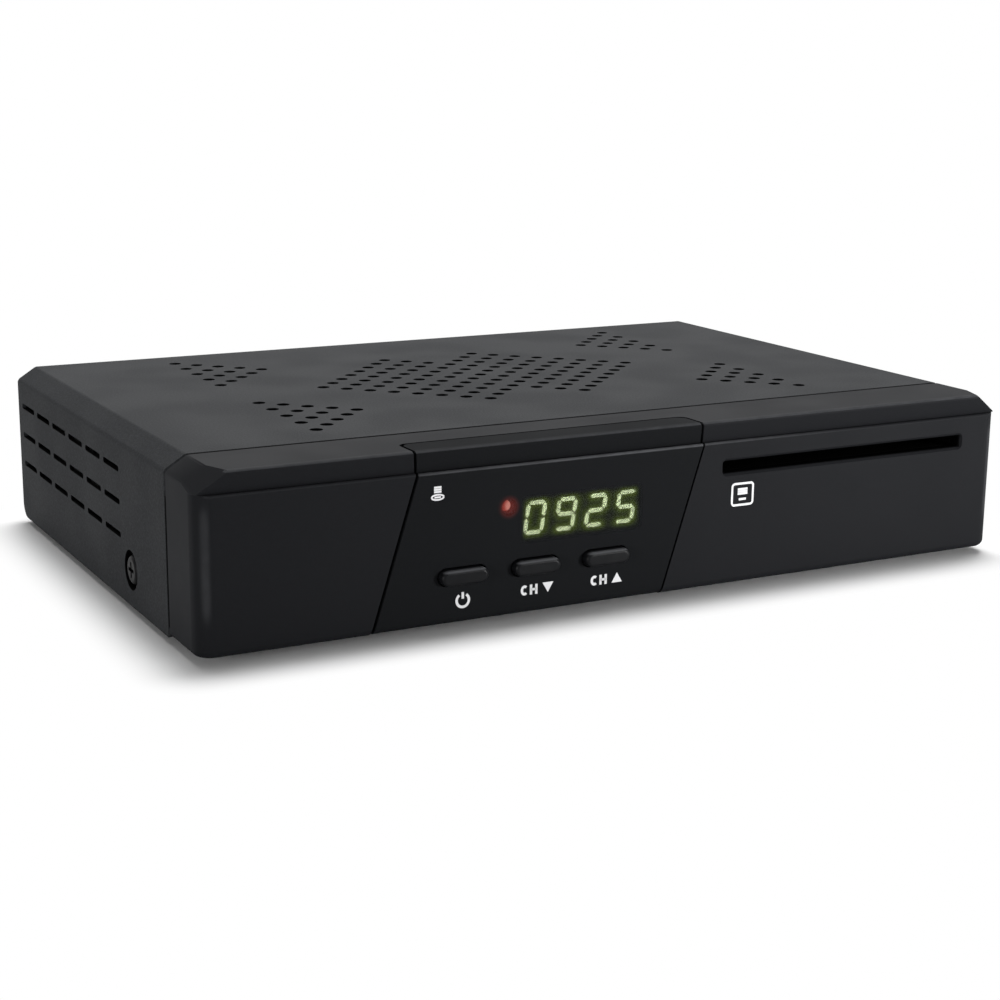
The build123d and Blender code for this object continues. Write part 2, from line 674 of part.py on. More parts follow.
def insert_sides(clearance):
    """The insert's outline in X and Z: parallel slanting sides that kick back at the ledge."""
    left = (INSERT_LEFT_TOP - clearance, INSERT_LEFT_LEDGE - clearance,
            INSERT_LEFT_BOTTOM - clearance)
    width = INSERT_WIDTH + 2 * clearance
    above = BODY_HEIGHT + FAR
    return outline(
        (left[2], 0),
        (left[1], LEDGE_Z),
        (left[0], BODY_HEIGHT),
        (left[0], above),
        (left[0] + width, above),
        (left[0] + width, BODY_HEIGHT),
        (left[1] + width, LEDGE_Z),
        (left[2] + width, 0),
    )


def insert_plan(clearance):
    """The insert seen from above: rounded rear corners where the lip laps over the top."""
    left = INSERT_LEFT_BOTTOM - FAR
    right = INSERT_LEFT_LEDGE + INSERT_WIDTH + FAR
    lip_left = INSERT_LEFT_TOP - clearance
    lip_right = lip_left + INSERT_WIDTH + 2 * clearance
    rear = LIP_DEPTH + clearance
    lip = outline((lip_left, -FAR), (lip_right, -FAR), (lip_right, rear), (lip_left, rear))
    corners = lip.vertices().filter_by(lambda v: v.Y > 0)
    return fillet(corners, LIP_CORNER) + outline(
        (left, -FAR), (right, -FAR), (right, RECESS), (left, RECESS))


def insert_recess():
    """Cutter for the insert's seat in the front panel, with a groove left around it."""
    seat = outline(
        (-FAR, -FAR),
        (RECESS, -FAR),
        (RECESS, BODY_HEIGHT - LIP_RECESS),
        (LIP_DEPTH + GROOVE, BODY_HEIGHT - LIP_RECESS),
        (LIP_DEPTH + GROOVE, BODY_HEIGHT + FAR),
        (-FAR, BODY_HEIGHT + FAR),
    )
    sides = along_y(insert_sides(GROOVE), -FAR, LIP_DEPTH + FAR)
    below = along_y(insert_foot(GROOVE), -FAR, RECESS)
    cutter = along_x(seat, -HALF_WIDTH, HALF_WIDTH) & (sides + below)
    return cutter & along_z(insert_plan(GROOVE), -FAR, BODY_HEIGHT + FAR)


def insert_foot(clearance):
    """The strip that carries the recess down through the panel's rounded bottom edge."""
    left = INSERT_LEFT_BOTTOM - clearance
    width = INSERT_WIDTH + 2 * clearance
    return outline((left, -FAR), (left + width, -FAR), (left + width, 0), (left, 0))


def card_slot():
    """Cutter for the card slot, with a bevelled mouth."""
    centre_z = SLOT_Z + SLOT_HEIGHT / 2
    slot = Pos(SLOT_X, centre_z) * RectangleRounded(SLOT_WIDTH, SLOT_HEIGHT, SLOT_CORNER)
    cutter = along_y(slot, -OVER, WALL + OVER)
    mouth = Plane(origin=(0, SLOT_BEVEL, 0), x_dir=(1, 0, 0), z_dir=(0, -1, 0)) * slot
    return cutter + extrude(mouth, 2 * SLOT_BEVEL, taper=-45)


def front_board_screw_places():
    """X and Z of the three screws that hold the front board."""
    return (
        (FRONT_BOARD_LEFT + BOARD_SCREW_EDGE, DISPLAY_Z - LAMP_STANDOFF),
        (FRONT_BOARD_RIGHT - BOARD_SCREW_EDGE, BUTTON_Z),
        (DISPLAY_X, FRONT_BOARD_TOP - BOARD_BOSS_RADIUS),
    )


def button_places():
    """X of the power, channel down and channel up buttons."""
    return (BUTTON_X - BUTTON_PITCH, BUTTON_X, BUTTON_X + BUTTON_PITCH)


def front_panel():
    """Moulded shell with the insert's recess, card slot, apertures and screw bosses."""
    cavity = along_y(offset(casing_section(), -WALL), WALL, PANEL_DEPTH + OVER)
    cavity &= along_z(plan(WALL, WALL, PANEL_DEPTH + OVER), 0, BODY_HEIGHT)
    shell = panel_block() - cavity
    shell -= insert_recess()
    shell -= card_slot()

    for x in button_places():
        hole = pill(x, BUTTON_Z, BUTTON_HOLE_WIDTH, BUTTON_HOLE_HEIGHT)
        shell -= along_y(hole, 0, WALL + OVER)
    shell -= block(DISPLAY_X - DISPLAY_WIDTH / 2 - PLAY, DISPLAY_X + DISPLAY_WIDTH / 2 + PLAY,
                   0, WALL + OVER, DISPLAY_Z - DISPLAY_HEIGHT / 2 - PLAY,
                   DISPLAY_Z + DISPLAY_HEIGHT / 2 + PLAY)
    shell -= rod(LAMP_X, LAMP_Z, 0, WALL + OVER, LAMP_RADIUS + PLAY)
    shell -= rod(RECEIVER_X, RECEIVER_Z, 0, WALL + OVER, RECEIVER_DOME + PLAY)

    for x, z in front_board_screw_places():
        shell += rod(x, z, WALL - ROOT, FRONT_BOARD_Y, BOARD_BOSS_RADIUS)
        shell -= rod(x, z, WALL + OVER, FRONT_BOARD_Y + OVER, SMALL_SCREW_RADIUS + THREAD_GAP)
    for x in panel_screw_places():
        shell += rod(x, PANEL_SCREW_Z, WALL - ROOT, FRONT_FLANGE_Y, PANEL_BOSS_RADIUS)
        shell -= rod(x, PANEL_SCREW_Z, FRONT_FLANGE_Y - PANEL_BOSS_BORE, FRONT_FLANGE_Y + OVER,
                     SMALL_SCREW_RADIUS + THREAD_GAP)

    # three tongues that reach under the cover's front edge
    tongue_top = BODY_HEIGHT - SHEET - FIT
    for x in (-BODY_WIDTH / 3, 0, BODY_WIDTH / 3):
        shell += block(x - TONGUE_WIDTH / 2, x + TONGUE_WIDTH / 2, PANEL_DEPTH - OVER,
                       PANEL_DEPTH + TONGUE_REACH, tongue_top - TONGUE_THICK, tongue_top)
    return shell


def display_insert():
    """Smoked moulding: a slanted front plate and a lip over the top edge, thinned behind the
    digits and the status light."""
    profile = front_profile(INSERT_FACE_Y, INSERT_BOTTOM_Z, BOTTOM_ROUND, LIP_DEPTH)
    insert = along_x(profile, -HALF_WIDTH, HALF_WIDTH)
    insert -= block(-HALF_WIDTH, HALF_WIDTH, RECESS, LIP_DEPTH + OVER, -OVER,
                    BODY_HEIGHT - LIP_RECESS)
    insert &= along_y(insert_sides(0), -FAR, LIP_DEPTH + FAR)
    insert &= along_z(insert_plan(0), -FAR, BODY_HEIGHT + FAR)

    for x in button_places():
        hole = pill(x, BUTTON_Z, BUTTON_HOLE_WIDTH, BUTTON_HOLE_HEIGHT)
        insert -= along_y(hole, INSERT_FACE_Y - OVER, RECESS + OVER)
    pocket_y = INSERT_FACE_Y + WINDOW_THICK
    insert -= block(DISPLAY_X - DISPLAY_WIDTH / 2 - PLAY, DISPLAY_X + DISPLAY_WIDTH / 2 + PLAY,
                    pocket_y, RECESS + OVER, DISPLAY_Z - DISPLAY_HEIGHT / 2 - PLAY,
                    DISPLAY_Z + DISPLAY_HEIGHT / 2 + PLAY)
    insert -= rod(LAMP_X, LAMP_Z, pocket_y, RECESS + OVER, LAMP_RADIUS + PLAY)
    return insert


# ================================================================ controls
def button(x):
    """A pill-shaped cap with a retaining flange behind the panel."""
    width = BUTTON_HOLE_WIDTH - 2 * BUTTON_GAP
    height = BUTTON_HOLE_HEIGHT - 2 * BUTTON_GAP
    cap = along_y(pill(x, BUTTON_Z, width, height), BUTTON_FRONT_Y, PLUNGER_FRONT_Y)
    front = cap.faces().sort_by(Axis.Y)[0]
    cap = fillet(front.edges(), BUTTON_ROUND)
    flange = pill(x, BUTTON_Z, BUTTON_HOLE_WIDTH + 2 * BUTTON_FLANGE,
                  BUTTON_HOLE_HEIGHT + 2 * BUTTON_FLANGE)
    return cap + along_y(flange, BUTTON_FLANGE_Y, PLUNGER_FRONT_Y)


def switch_plunger(x):
    """The tact switch's plunger, which follows the button into the switch."""
    return rod(x, BUTTON_Z, PLUNGER_FRONT_Y, PLUNGER_FRONT_Y + PLUNGER_LENGTH, PLUNGER_RADIUS)


def tact_switches():
    """Three switch bodies, each bored so that its plunger can travel."""
    half = SWITCH_SIZE / 2
    bore_rear = PLUNGER_FRONT_Y + PLUNGER_LENGTH + BUTTON_TRAVEL + PLAY
    bodies = []
    for x in button_places():
        body = block(x - half, x + half, SWITCH_FRONT_Y, FRONT_BOARD_Y,
                     BUTTON_Z - half, BUTTON_Z + half)
        bodies.append(body - rod(x, BUTTON_Z, SWITCH_FRONT_Y - OVER, bore_rear,
                                 PLUNGER_RADIUS + SLIDE_GAP))
    return solids_of(bodies)


# ================================================================ display and front board
def segment_bars():
    """The seven bars of one digit, keyed by letter, upright and centred on the origin."""
    half_w = (DIGIT_WIDTH - DIGIT_STROKE) / 2
    half_h = (DIGIT_HEIGHT - DIGIT_STROKE) / 2

    def bar_between(x0, z0, x1, z1):
        length = math.hypot(x1 - x0, z1 - z0) - 2 * SEGMENT_GAP
        angle = math.degrees(math.atan2(z1 - z0, x1 - x0))
        half = length / 2
        point = DIGIT_STROKE / 2
        shape = outline((-half, 0), (-half + point, point), (half - point, point), (half, 0),
                        (half - point, -point), (-half + point, -point))
        return Pos((x0 + x1) / 2, (z0 + z1) / 2) * Rot(0, 0, angle) * shape

    return {
        "a": bar_between(-half_w, half_h, half_w, half_h),
        "b": bar_between(half_w, half_h, half_w, 0),
        "c": bar_between(half_w, 0, half_w, -half_h),
        "d": bar_between(-half_w, -half_h, half_w, -half_h),
        "e": bar_between(-half_w, -half_h, -half_w, 0),
        "f": bar_between(-half_w, 0, -half_w, half_h),
        "g": bar_between(-half_w, 0, half_w, 0),
    }


def slanted(sketch):
    """A flat sketch leaned over by the digits' slant."""
    lean = math.tan(math.radians(DIGIT_SLANT))
    faces = []
    for face in sketch.faces():
        corners = [(v.X + lean * v.Y, v.Y) for v in face.outer_wire().vertices()]
        middle_x = sum(c[0] for c in corners) / len(corners)
        middle_y = sum(c[1] for c in corners) / len(corners)
        corners.sort(key=lambda c: math.atan2(c[1] - middle_y, c[0] - middle_x))
        faces.append(outline(*corners))
    return faces


def digit_segments(lit):
    """The lit or the dark segments of the four digits, which read 0925."""
    shown = ("abcdef", "abcdfg", "abdeg", "acdfg")
    bars = segment_bars()
    pieces = []
    for k, letters in enumerate(shown):
        x = DISPLAY_X + (k - (DIGIT_COUNT - 1) / 2) * DIGIT_PITCH
        for letter, shape in bars.items():
            if (letter in letters) == lit:
                for face in slanted(shape):
                    pieces.append(along_y(Pos(x, DISPLAY_Z) * face, DISPLAY_FACE_Y,
                                          DISPLAY_FACE_Y + DIGIT_THICK))
    return solids_of(pieces)


def display_module():
    """The display's moulded body, behind the segments."""
    half_w = DISPLAY_WIDTH / 2
    half_h = DISPLAY_HEIGHT / 2
    return block(DISPLAY_X - half_w, DISPLAY_X + half_w, DISPLAY_FACE_Y + DIGIT_THICK,
                 FRONT_BOARD_Y, DISPLAY_Z - half_h, DISPLAY_Z + half_h)


def status_led():
    """A small lamp: two legs, a collar and a round lens with a domed front."""
    tip = DISPLAY_FACE_Y + LAMP_RADIUS
    seat = FRONT_BOARD_Y - LAMP_STANDOFF
    lens = rod(LAMP_X, LAMP_Z, tip, seat, LAMP_RADIUS)
    lens += Pos(LAMP_X, tip, LAMP_Z) * Sphere(LAMP_RADIUS)
    lens += rod(LAMP_X, LAMP_Z, seat - LAMP_COLLAR_THICK, seat, LAMP_RADIUS + LAMP_COLLAR)
    for side in (-1, 1):
        lens += rod(LAMP_X + side * LAMP_LEG_X, LAMP_Z, seat - LAMP_COLLAR, FRONT_BOARD_Y,
                    LAMP_LEG_RADIUS)
    return lens


def ir_receiver():
    """The infra-red receiver: a small block with a domed lens."""
    half = RECEIVER_WIDTH / 2
    front = FRONT_BOARD_Y - RECEIVER_DEPTH
    body = block(RECEIVER_X - half, RECEIVER_X + half, front, FRONT_BOARD_Y,
                 RECEIVER_Z - half, RECEIVER_Z + half)
    dome = Pos(RECEIVER_X, front, RECEIVER_Z) * Sphere(RECEIVER_DOME)
    return body + dome


def front_board():
    """The upright board that carries the display, the switches and the receiver."""
    board = block(FRONT_BOARD_LEFT, FRONT_BOARD_RIGHT, FRONT_BOARD_Y,
                  FRONT_BOARD_Y + BOARD_THICK, FRONT_BOARD_BOTTOM, FRONT_BOARD_TOP)
    for x, z in front_board_screw_places():
        board -= rod(x, z, FRONT_BOARD_Y - OVER, FRONT_BOARD_Y + BOARD_THICK + OVER,
                     SMALL_SCREW_RADIUS + HOLE_GAP)
    return board


# ================================================================ ribbon cable
CABLE_X = -30.0
CABLE_WIDTH = 10.0
CABLE_THICK = 0.9
CABLE_BEND = 5.0
CABLE_RUN = 9.0             # straight run behind the front header
HEADER_WIDTH = 12.0
HEADER_DEEP = 5.0
HEADER_TALL = 6.0
CABLE_DROP = 1.6            # straight run above the main board's header
CABLE_Z = BOARD_TOP + HEADER_TALL + CABLE_DROP + CABLE_BEND


def cable_drop_y():
    """Y of the cable's upright run, over the main board's header."""
    return FRONT_BOARD_Y + BOARD_THICK + HEADER_TALL + CABLE_RUN + CABLE_BEND


def cable_headers():
    """One header on the front board and one on the main board."""
    half = HEADER_WIDTH / 2
    rear = FRONT_BOARD_Y + BOARD_THICK
    thick = HEADER_DEEP / 2
    y = cable_drop_y()
    return solids_of([
        block(CABLE_X - half, CABLE_X + half, rear, rear + HEADER_TALL,
              CABLE_Z - thick, CABLE_Z + thick),
        block(CABLE_X - half, CABLE_X + half, y - thick, y + thick,
              BOARD_TOP, BOARD_TOP + HEADER_TALL),
    ])


def ribbon_cable():
    """A flat cable: straight back from the front header, one bend, straight down."""
    start = FRONT_BOARD_Y + BOARD_THICK + HEADER_TALL
    bend_y = cable_drop_y() - CABLE_BEND
    bend_z = CABLE_Z - CABLE_BEND
    half = CABLE_THICK / 2
    run = Pos((start + bend_y) / 2, CABLE_Z) * Rectangle(bend_y - start, CABLE_THICK)
    ring = Circle(CABLE_BEND + half) - Circle(CABLE_BEND - half)
    quarter = ring & Pos(CABLE_BEND, CABLE_BEND) * Rectangle(2 * CABLE_BEND, 2 * CABLE_BEND)
    foot = BOARD_TOP + HEADER_TALL
    drop = Pos(cable_drop_y(), (foot + bend_z) / 2) * Rectangle(CABLE_THICK, bend_z - foot)
    flat = run + Pos(bend_y, bend_z) * quarter + drop
    return along_x(flat, CABLE_X - CABLE_WIDTH / 2, CABLE_X + CABLE_WIDTH / 2)


# ================================================================ screws
def screw(head_radius, head_thick, radius, length):
    """A pan-head screw along Z, its seat at Z = 0 and its shank below, with a cross recess."""
    head = Pos(0, 0, head_thick / 2) * Cylinder(head_radius, head_thick)
    rim = head.edges().filter_by(GeomType.CIRCLE).sort_by(Axis.Z)[-1]
    head = fillet(rim, head_thick / 2)
    cross = Rectangle(head_radius * CROSS_LENGTH, head_radius * CROSS_WIDTH)
    cross += Rectangle(head_radius * CROSS_WIDTH, head_radius * CROSS_LENGTH)
    head -= along_z(cross, head_thick * CROSS_FLOOR, head_thick + OVER)
    return head + Pos(0, 0, -length / 2) * Cylinder(radius, length)


def chassis_screw():
    """The larger screw, used for the cover and the main board."""
    return screw(SCREW_HEAD_RADIUS, SCREW_HEAD_THICK, SCREW_RADIUS, SCREW_LENGTH)


def plastic_screw(length):
    """The smaller screw, used in the panel's bosses."""
    return screw(SMALL_SCREW_HEAD_RADIUS, SMALL_SCREW_HEAD_THICK, SMALL_SCREW_RADIUS, length)


def cover_side_screws():
    """One screw in each side dimple."""
    seat = HALF_WIDTH - DIMPLE_DEPTH
    left = Pos(-seat, SIDE_SCREW_Y, SIDE_SCREW_Z) * Rot(0, -90, 0) * chassis_screw()
    right = Pos(seat, SIDE_SCREW_Y, SIDE_SCREW_Z) * Rot(0, 90, 0) * chassis_screw()
    return solids_of([left, right])


def cover_rear_screws():
    """Two screws through the cover's rear lip."""
    return solids_of([Pos(x, BODY_DEPTH, rear_screw_z()) * Rot(-90, 0, 0) * chassis_screw()
                      for x in rear_screw_places()])


def front_panel_screws():
    """Three screws from the chassis's front flange into the panel's bosses."""
    y = FRONT_FLANGE_Y + SHEET
    return solids_of([Pos(x, y, PANEL_SCREW_Z) * Rot(-90, 0, 0)
                      * plastic_screw(PANEL_SCREW_LENGTH)
                      for x in panel_screw_places()])


def front_board_screws():
    """Three screws through the front board into the panel's bosses."""
    y = FRONT_BOARD_Y + BOARD_THICK
    return solids_of([Pos(x, y, z) * Rot(-90, 0, 0) * plastic_screw(BOARD_SCREW_LENGTH)
                      for x, z in front_board_screw_places()])


def main_board_screws():
    """Five screws through the main board into the stand-offs."""
    return solids_of([Pos(x, y, BOARD_TOP) * chassis_screw()
                      for x, y in main_screw_places()])


# ================================================================ main board and its parts
PROCESSOR_X = -14.0
PROCESSOR_Y = 58.0
PROCESSOR_SIZE = 17.0
PROCESSOR_THICK = 1.6
PAD_SIZE = 15.0
PAD_THICK = 0.4
HEATSINK_SIZE = 28.0
HEATSINK_BASE = 2.0
HEATSINK_FINS = 9
FIN_THICK = 1.0
FIN_HEIGHT = 8.0
CHIP_GAP = 8.0              # heatsink's edge to the middle of a chip beside it
CHIP_WIDTH = 8.0
CHIP_LENGTH = 12.0
CHIP_THICK = 1.2
CAN_RADIUS = 4.0
CAN_HEIGHT = 11.0
SMALL_CAN_RADIUS = 3.15
SMALL_CAN_HEIGHT = 9.0
SMALL_CAN_Y = 32.0
CAN_PITCH = 10.0
CAN_ROUND = 0.5
SCORE_LENGTH = 1.4          # the score across a can's top, as parts of its radius
SCORE_WIDTH = 0.3
SCORE_DEPTH = 0.2
INDUCTOR_COUNT = 3
INDUCTOR_SIZE = 7.0
INDUCTOR_HEIGHT = 4.0
INDUCTOR_CORNER = 1.5
INDUCTOR_DC_GAP = 32.0      # first inductor to the DC jack
REGULATOR_WIDTH = 6.5
REGULATOR_DEPTH = 6.0
REGULATOR_HEIGHT = 2.3
REGULATOR_DC_GAP = 34.0
REGULATOR_PITCH = 12.0
CRYSTAL_LENGTH = 11.0
CRYSTAL_WIDTH = 4.6
CRYSTAL_HEIGHT = 3.5
POWER_ROW_Y = REAR_WALL_OUTER - AV_DEPTH - 8.0


def main_board():
    """The main board, screwed to the stand-offs."""
    board = block(-BOARD_HALF, BOARD_HALF, BOARD_FRONT_Y, BOARD_REAR_Y,
                  BOARD_BOTTOM, BOARD_TOP)
    for x, y in main_screw_places():
        board -= post(x, y, BOARD_BOTTOM - OVER, BOARD_TOP + OVER, SCREW_RADIUS + HOLE_GAP)
    # notches that clear the ends of the cover's side screws
    for x in (-BOARD_HALF, BOARD_HALF):
        board -= post(x, SIDE_SCREW_Y, BOARD_BOTTOM - OVER, BOARD_TOP + OVER, SCREW_NOTCH)
    return board


def square_on(x, y, z, size_x, size_y, thick):
    """A flat package standing on height z."""
    return block(x - size_x / 2, x + size_x / 2, y - size_y / 2, y + size_y / 2, z, z + thick)


def main_processor():
    """The main processor's package."""
    return square_on(PROCESSOR_X, PROCESSOR_Y, BOARD_TOP, PROCESSOR_SIZE, PROCESSOR_SIZE,
                     PROCESSOR_THICK)


def thermal_pad():
    """The pad between the processor and its heatsink."""
    return square_on(PROCESSOR_X, PROCESSOR_Y, BOARD_TOP + PROCESSOR_THICK, PAD_SIZE, PAD_SIZE,
                     PAD_THICK)


def heatsink():
    """A base plate with upright fins."""
    foot = BOARD_TOP + PROCESSOR_THICK + PAD_THICK
    sink = square_on(PROCESSOR_X, PROCESSOR_Y, foot, HEATSINK_SIZE, HEATSINK_SIZE,
                     HEATSINK_BASE)
    pitch = (HEATSINK_SIZE - FIN_THICK) / (HEATSINK_FINS - 1)
    for k in range(HEATSINK_FINS):
        x = PROCESSOR_X - (HEATSINK_SIZE - FIN_THICK) / 2 + k * pitch
        sink += square_on(x, PROCESSOR_Y, foot + HEATSINK_BASE / 2, FIN_THICK, HEATSINK_SIZE,
                          FIN_HEIGHT + HEATSINK_BASE / 2)
    return sink


def memory_chips():
    """Two memory packages beside the processor."""
    x = PROCESSOR_X + HEATSINK_SIZE / 2 + CHIP_GAP
    return solids_of([square_on(x, PROCESSOR_Y + side * CHIP_GAP, BOARD_TOP, CHIP_WIDTH,
                                CHIP_LENGTH, CHIP_THICK) for side in (-1, 1)])


def flash_chip():
    """The program memory's package, behind the processor."""
    return square_on(PROCESSOR_X, PROCESSOR_Y + HEATSINK_SIZE / 2 + CHIP_GAP, BOARD_TOP,
                     CHIP_LENGTH, CHIP_WIDTH, CHIP_THICK)


def electrolytic_capacitors():
    """Five upright cans: three near the DC jack, two near the front edge."""
    cans = []
    large = (CAN_RADIUS, CAN_HEIGHT)
    small = (SMALL_CAN_RADIUS, SMALL_CAN_HEIGHT)
    for x, y, (radius, height) in (
        (DC_X - CAN_PITCH, POWER_ROW_Y, large),
        (DC_X - 2 * CAN_PITCH, POWER_ROW_Y, large),
        (DC_X - CAN_PITCH, POWER_ROW_Y - CAN_PITCH, small),
        (CABLE_X - HEADER_WIDTH, SMALL_CAN_Y, small),
        (CABLE_X - HEADER_WIDTH - CAN_PITCH, SMALL_CAN_Y, small),
    ):
        top = BOARD_TOP + height
        can = post(x, y, BOARD_TOP, top, radius)
        rim = can.edges().filter_by(GeomType.CIRCLE).sort_by(Axis.Z)[-1]
        can = fillet(rim, CAN_ROUND)
        score = Rectangle(SCORE_LENGTH * radius, SCORE_WIDTH)
        score += Rectangle(SCORE_WIDTH, SCORE_LENGTH * radius)
        cans.append(can - along_z(Pos(x, y) * score, top - SCORE_DEPTH, top + OVER))
    return solids_of(cans)


def power_inductors():
    """Three shielded inductors in a row."""
    pieces = []
    for k in range(INDUCTOR_COUNT):
        x = DC_X - INDUCTOR_DC_GAP - CAN_PITCH * k
        piece = square_on(x, POWER_ROW_Y - CAN_PITCH, BOARD_TOP, INDUCTOR_SIZE, INDUCTOR_SIZE,
                          INDUCTOR_HEIGHT)
        pieces.append(fillet(piece.edges().filter_by(Axis.Z), INDUCTOR_CORNER))
    return solids_of(pieces)


def voltage_regulators():
    """Two regulators beside the inductors."""
    first = DC_X - REGULATOR_DC_GAP
    return solids_of([square_on(x, POWER_ROW_Y, BOARD_TOP, REGULATOR_WIDTH, REGULATOR_DEPTH,
                                REGULATOR_HEIGHT) for x in (first, first - REGULATOR_PITCH)])


def crystal():
    """The clock crystal's oval can."""
    place = Pos(PROCESSOR_X - HEATSINK_SIZE / 2 - CHIP_GAP, PROCESSOR_Y)
    can = place * SlotOverall(CRYSTAL_LENGTH, CRYSTAL_WIDTH, rotation=90)
    return along_z(can, BOARD_TOP, BOARD_TOP + CRYSTAL_HEIGHT)


# ================================================================ tuner
def tuner_frame():
    """The tuner's open screening frame, with a web down the middle."""
    x0 = TUNER_LEFT
    x1 = TUNER_LEFT + TUNER_WIDTH
    y0 = TUNER_REAR_Y - TUNER_DEPTH
    y1 = TUNER_REAR_Y
    top = BOARD_TOP + TUNER_HEIGHT
    frame = block(x0, x1, y0, y1, BOARD_TOP, top)
    middle = (x0 + x1) / 2
    for left, right in ((x0 + TUNER_SHEET, middle - TUNER_SHEET / 2),
                        (middle + TUNER_SHEET / 2, x1 - TUNER_SHEET)):
        frame -= block(left, right, y0 + TUNER_SHEET, y1 - TUNER_SHEET,
                       BOARD_TOP - OVER, top + OVER)
    return frame


def tuner_lid():
    """The tuner's flat lid, with a turned-down rim outside the frame's long sides."""
    x0 = TUNER_LEFT
    x1 = TUNER_LEFT + TUNER_WIDTH
    y0 = TUNER_REAR_Y - TUNER_DEPTH
    y1 = TUNER_REAR_Y
    top = BOARD_TOP + TUNER_HEIGHT
    outer = FIT + TUNER_LID_THICK
    lid = block(x0 - outer, x1 + outer, y0, y1, top, top + TUNER_LID_THICK)
    for a, b in ((x0 - outer, x0 - FIT), (x1 + FIT, x1 + outer)):
        lid += block(a, b, y0 + TUNER_RIM_MARGIN, y1 - TUNER_RIM_MARGIN,
                     top - TUNER_RIM_HEIGHT, top + TUNER_LID_THICK / 2)
    holes = [Pos(x0 + TUNER_WIDTH * k / 4, (y0 + y1) / 2) * Circle(TUNER_HOLE_RADIUS)
             for k in (1, 3)]
    return lid - along_z(Sketch() + holes, top - OVER, top + OVER)


def f_connector(x):
    """A threaded coaxial barrel that stands out of the tuner through the rear wall. As far as
    its nut reaches it is drawn at the foot of the thread, and beyond it at the outside."""
    free = rod(x, F_Z, F_NUT_REAR, REAR_REACH, F_RADIUS)
    rim = free.edges().filter_by(GeomType.CIRCLE).sort_by(Axis.Y)[-1]
    barrel = chamfer(rim, F_CHAMFER)
    barrel += rod(x, F_Z, TUNER_REAR_Y, F_NUT_REAR + OVER, F_ROOT_RADIUS)
    return barrel - rod(x, F_Z, REAR_WALL_OUTER, REAR_REACH + OVER, F_BORE)


def f_connector_insulators():
    """The white insulators inside the two barrels, each with a centre hole."""
    pieces = []
    for x in (F_IN_X, F_OUT_X):
        plug = rod(x, F_Z, REAR_WALL_OUTER, REAR_REACH - F_INSULATOR_SETBACK,
                   F_BORE - THREAD_GAP)
        pieces.append(plug - rod(x, F_Z, REAR_REACH - F_PIN_DEPTH, REAR_REACH + OVER,
                                 F_PIN_HOLE))
    return solids_of(pieces)


def f_connector_washers():
    """A flat washer on each barrel, against the rear wall."""
    return solids_of([
        rod(x, F_Z, REAR_WALL_OUTER, REAR_WALL_OUTER + F_WASHER_THICK, F_WASHER_RADIUS)
        - rod(x, F_Z, REAR_WALL_OUTER - OVER, REAR_WALL_OUTER + OVER, F_RADIUS + THREAD_GAP)
        for x in (F_IN_X, F_OUT_X)])


def f_connector_nuts():
    """A hexagon nut on each barrel, against its washer."""
    corner_radius = F_NUT_FLATS / math.sqrt(3)
    nuts = []
    for x in (F_IN_X, F_OUT_X):
        flat = Pos(x, F_Z) * (RegularPolygon(corner_radius, 6)
                              - Circle(F_ROOT_RADIUS + THREAD_GAP))
        nuts.append(along_y(flat, F_NUT_REAR - F_NUT_THICK, F_NUT_REAR))
    return solids_of(nuts)


# ================================================================ rear sockets
def shell_socket(x, width, height, depth, slope):
    """A drawn metal shell, open to the rear; slope takes its lower corners off."""
    z = BOARD_TOP
    half = width / 2
    face = outline((x - half + slope, z), (x + half - slope, z), (x + half, z + slope),
                   (x + half, z + height), (x - half, z + height), (x - half, z + slope))
    front = REAR_WALL_OUTER - depth
    outer = along_y(face, front, REAR_WALL_OUTER + SOCKET_PROUD)
    return outer - along_y(grown(face, -SHELL), front + SHELL, REAR_WALL_OUTER + OVER)


def data_socket_shell():
    """The data socket's steel shell."""
    return shell_socket(DATA_X, DATA_WIDTH, DATA_HEIGHT, DATA_DEPTH, DATA_SLOPE)


def data_socket_tongue():
    """The data socket's plastic tongue."""
    half = DATA_TONGUE_WIDTH / 2
    top = BOARD_TOP + DATA_HEIGHT - DATA_TONGUE_DROP
    front = REAR_WALL_OUTER - DATA_DEPTH + SHELL
    return block(DATA_X - half, DATA_X + half, front, REAR_WALL_OUTER - TONGUE_SETBACK,
                 top - DATA_TONGUE_THICK, top)


def video_socket_shell():
    """The digital video socket's steel shell, with sloping lower corners."""
    return shell_socket(VIDEO_X, VIDEO_WIDTH, VIDEO_HEIGHT, VIDEO_DEPTH, VIDEO_SLOPE)


def video_socket_tongue():
    """The digital video socket's plastic tongue."""
    half = VIDEO_TONGUE_WIDTH / 2
    thick = VIDEO_TONGUE_THICK / 2
    middle = BOARD_TOP + VIDEO_HEIGHT / 2 + VIDEO_TONGUE_RISE
    front = REAR_WALL_OUTER - VIDEO_DEPTH + SHELL
    return block(VIDEO_X - half, VIDEO_X + half, front, REAR_WALL_OUTER - TONGUE_SETBACK,
                 middle - thick, middle + thick)


def audio_z():
    """Height of the digital audio socket's axis."""
    return BOARD_TOP + AUDIO_HEIGHT / 2


def digital_audio_body():
    """The digital audio socket's block, behind the rear wall."""
    half = AUDIO_WIDTH / 2
    return block(AUDIO_X - half, AUDIO_X + half, REAR_WALL_INNER - AUDIO_DEPTH - PLAY,
                 REAR_WALL_INNER - PLAY, BOARD_TOP, BOARD_TOP + AUDIO_HEIGHT)


def digital_audio_sleeve():
    """The socket's plated sleeve."""
    front = REAR_WALL_INNER - PLAY
    rear = REAR_WALL_OUTER + AUDIO_SLEEVE_REACH
    return (rod(AUDIO_X, audio_z(), front, rear, AUDIO_SLEEVE_RADIUS)
            - rod(AUDIO_X, audio_z(), front - OVER, rear + OVER,
                  AUDIO_SLEEVE_RADIUS - AUDIO_SLEEVE_WALL))


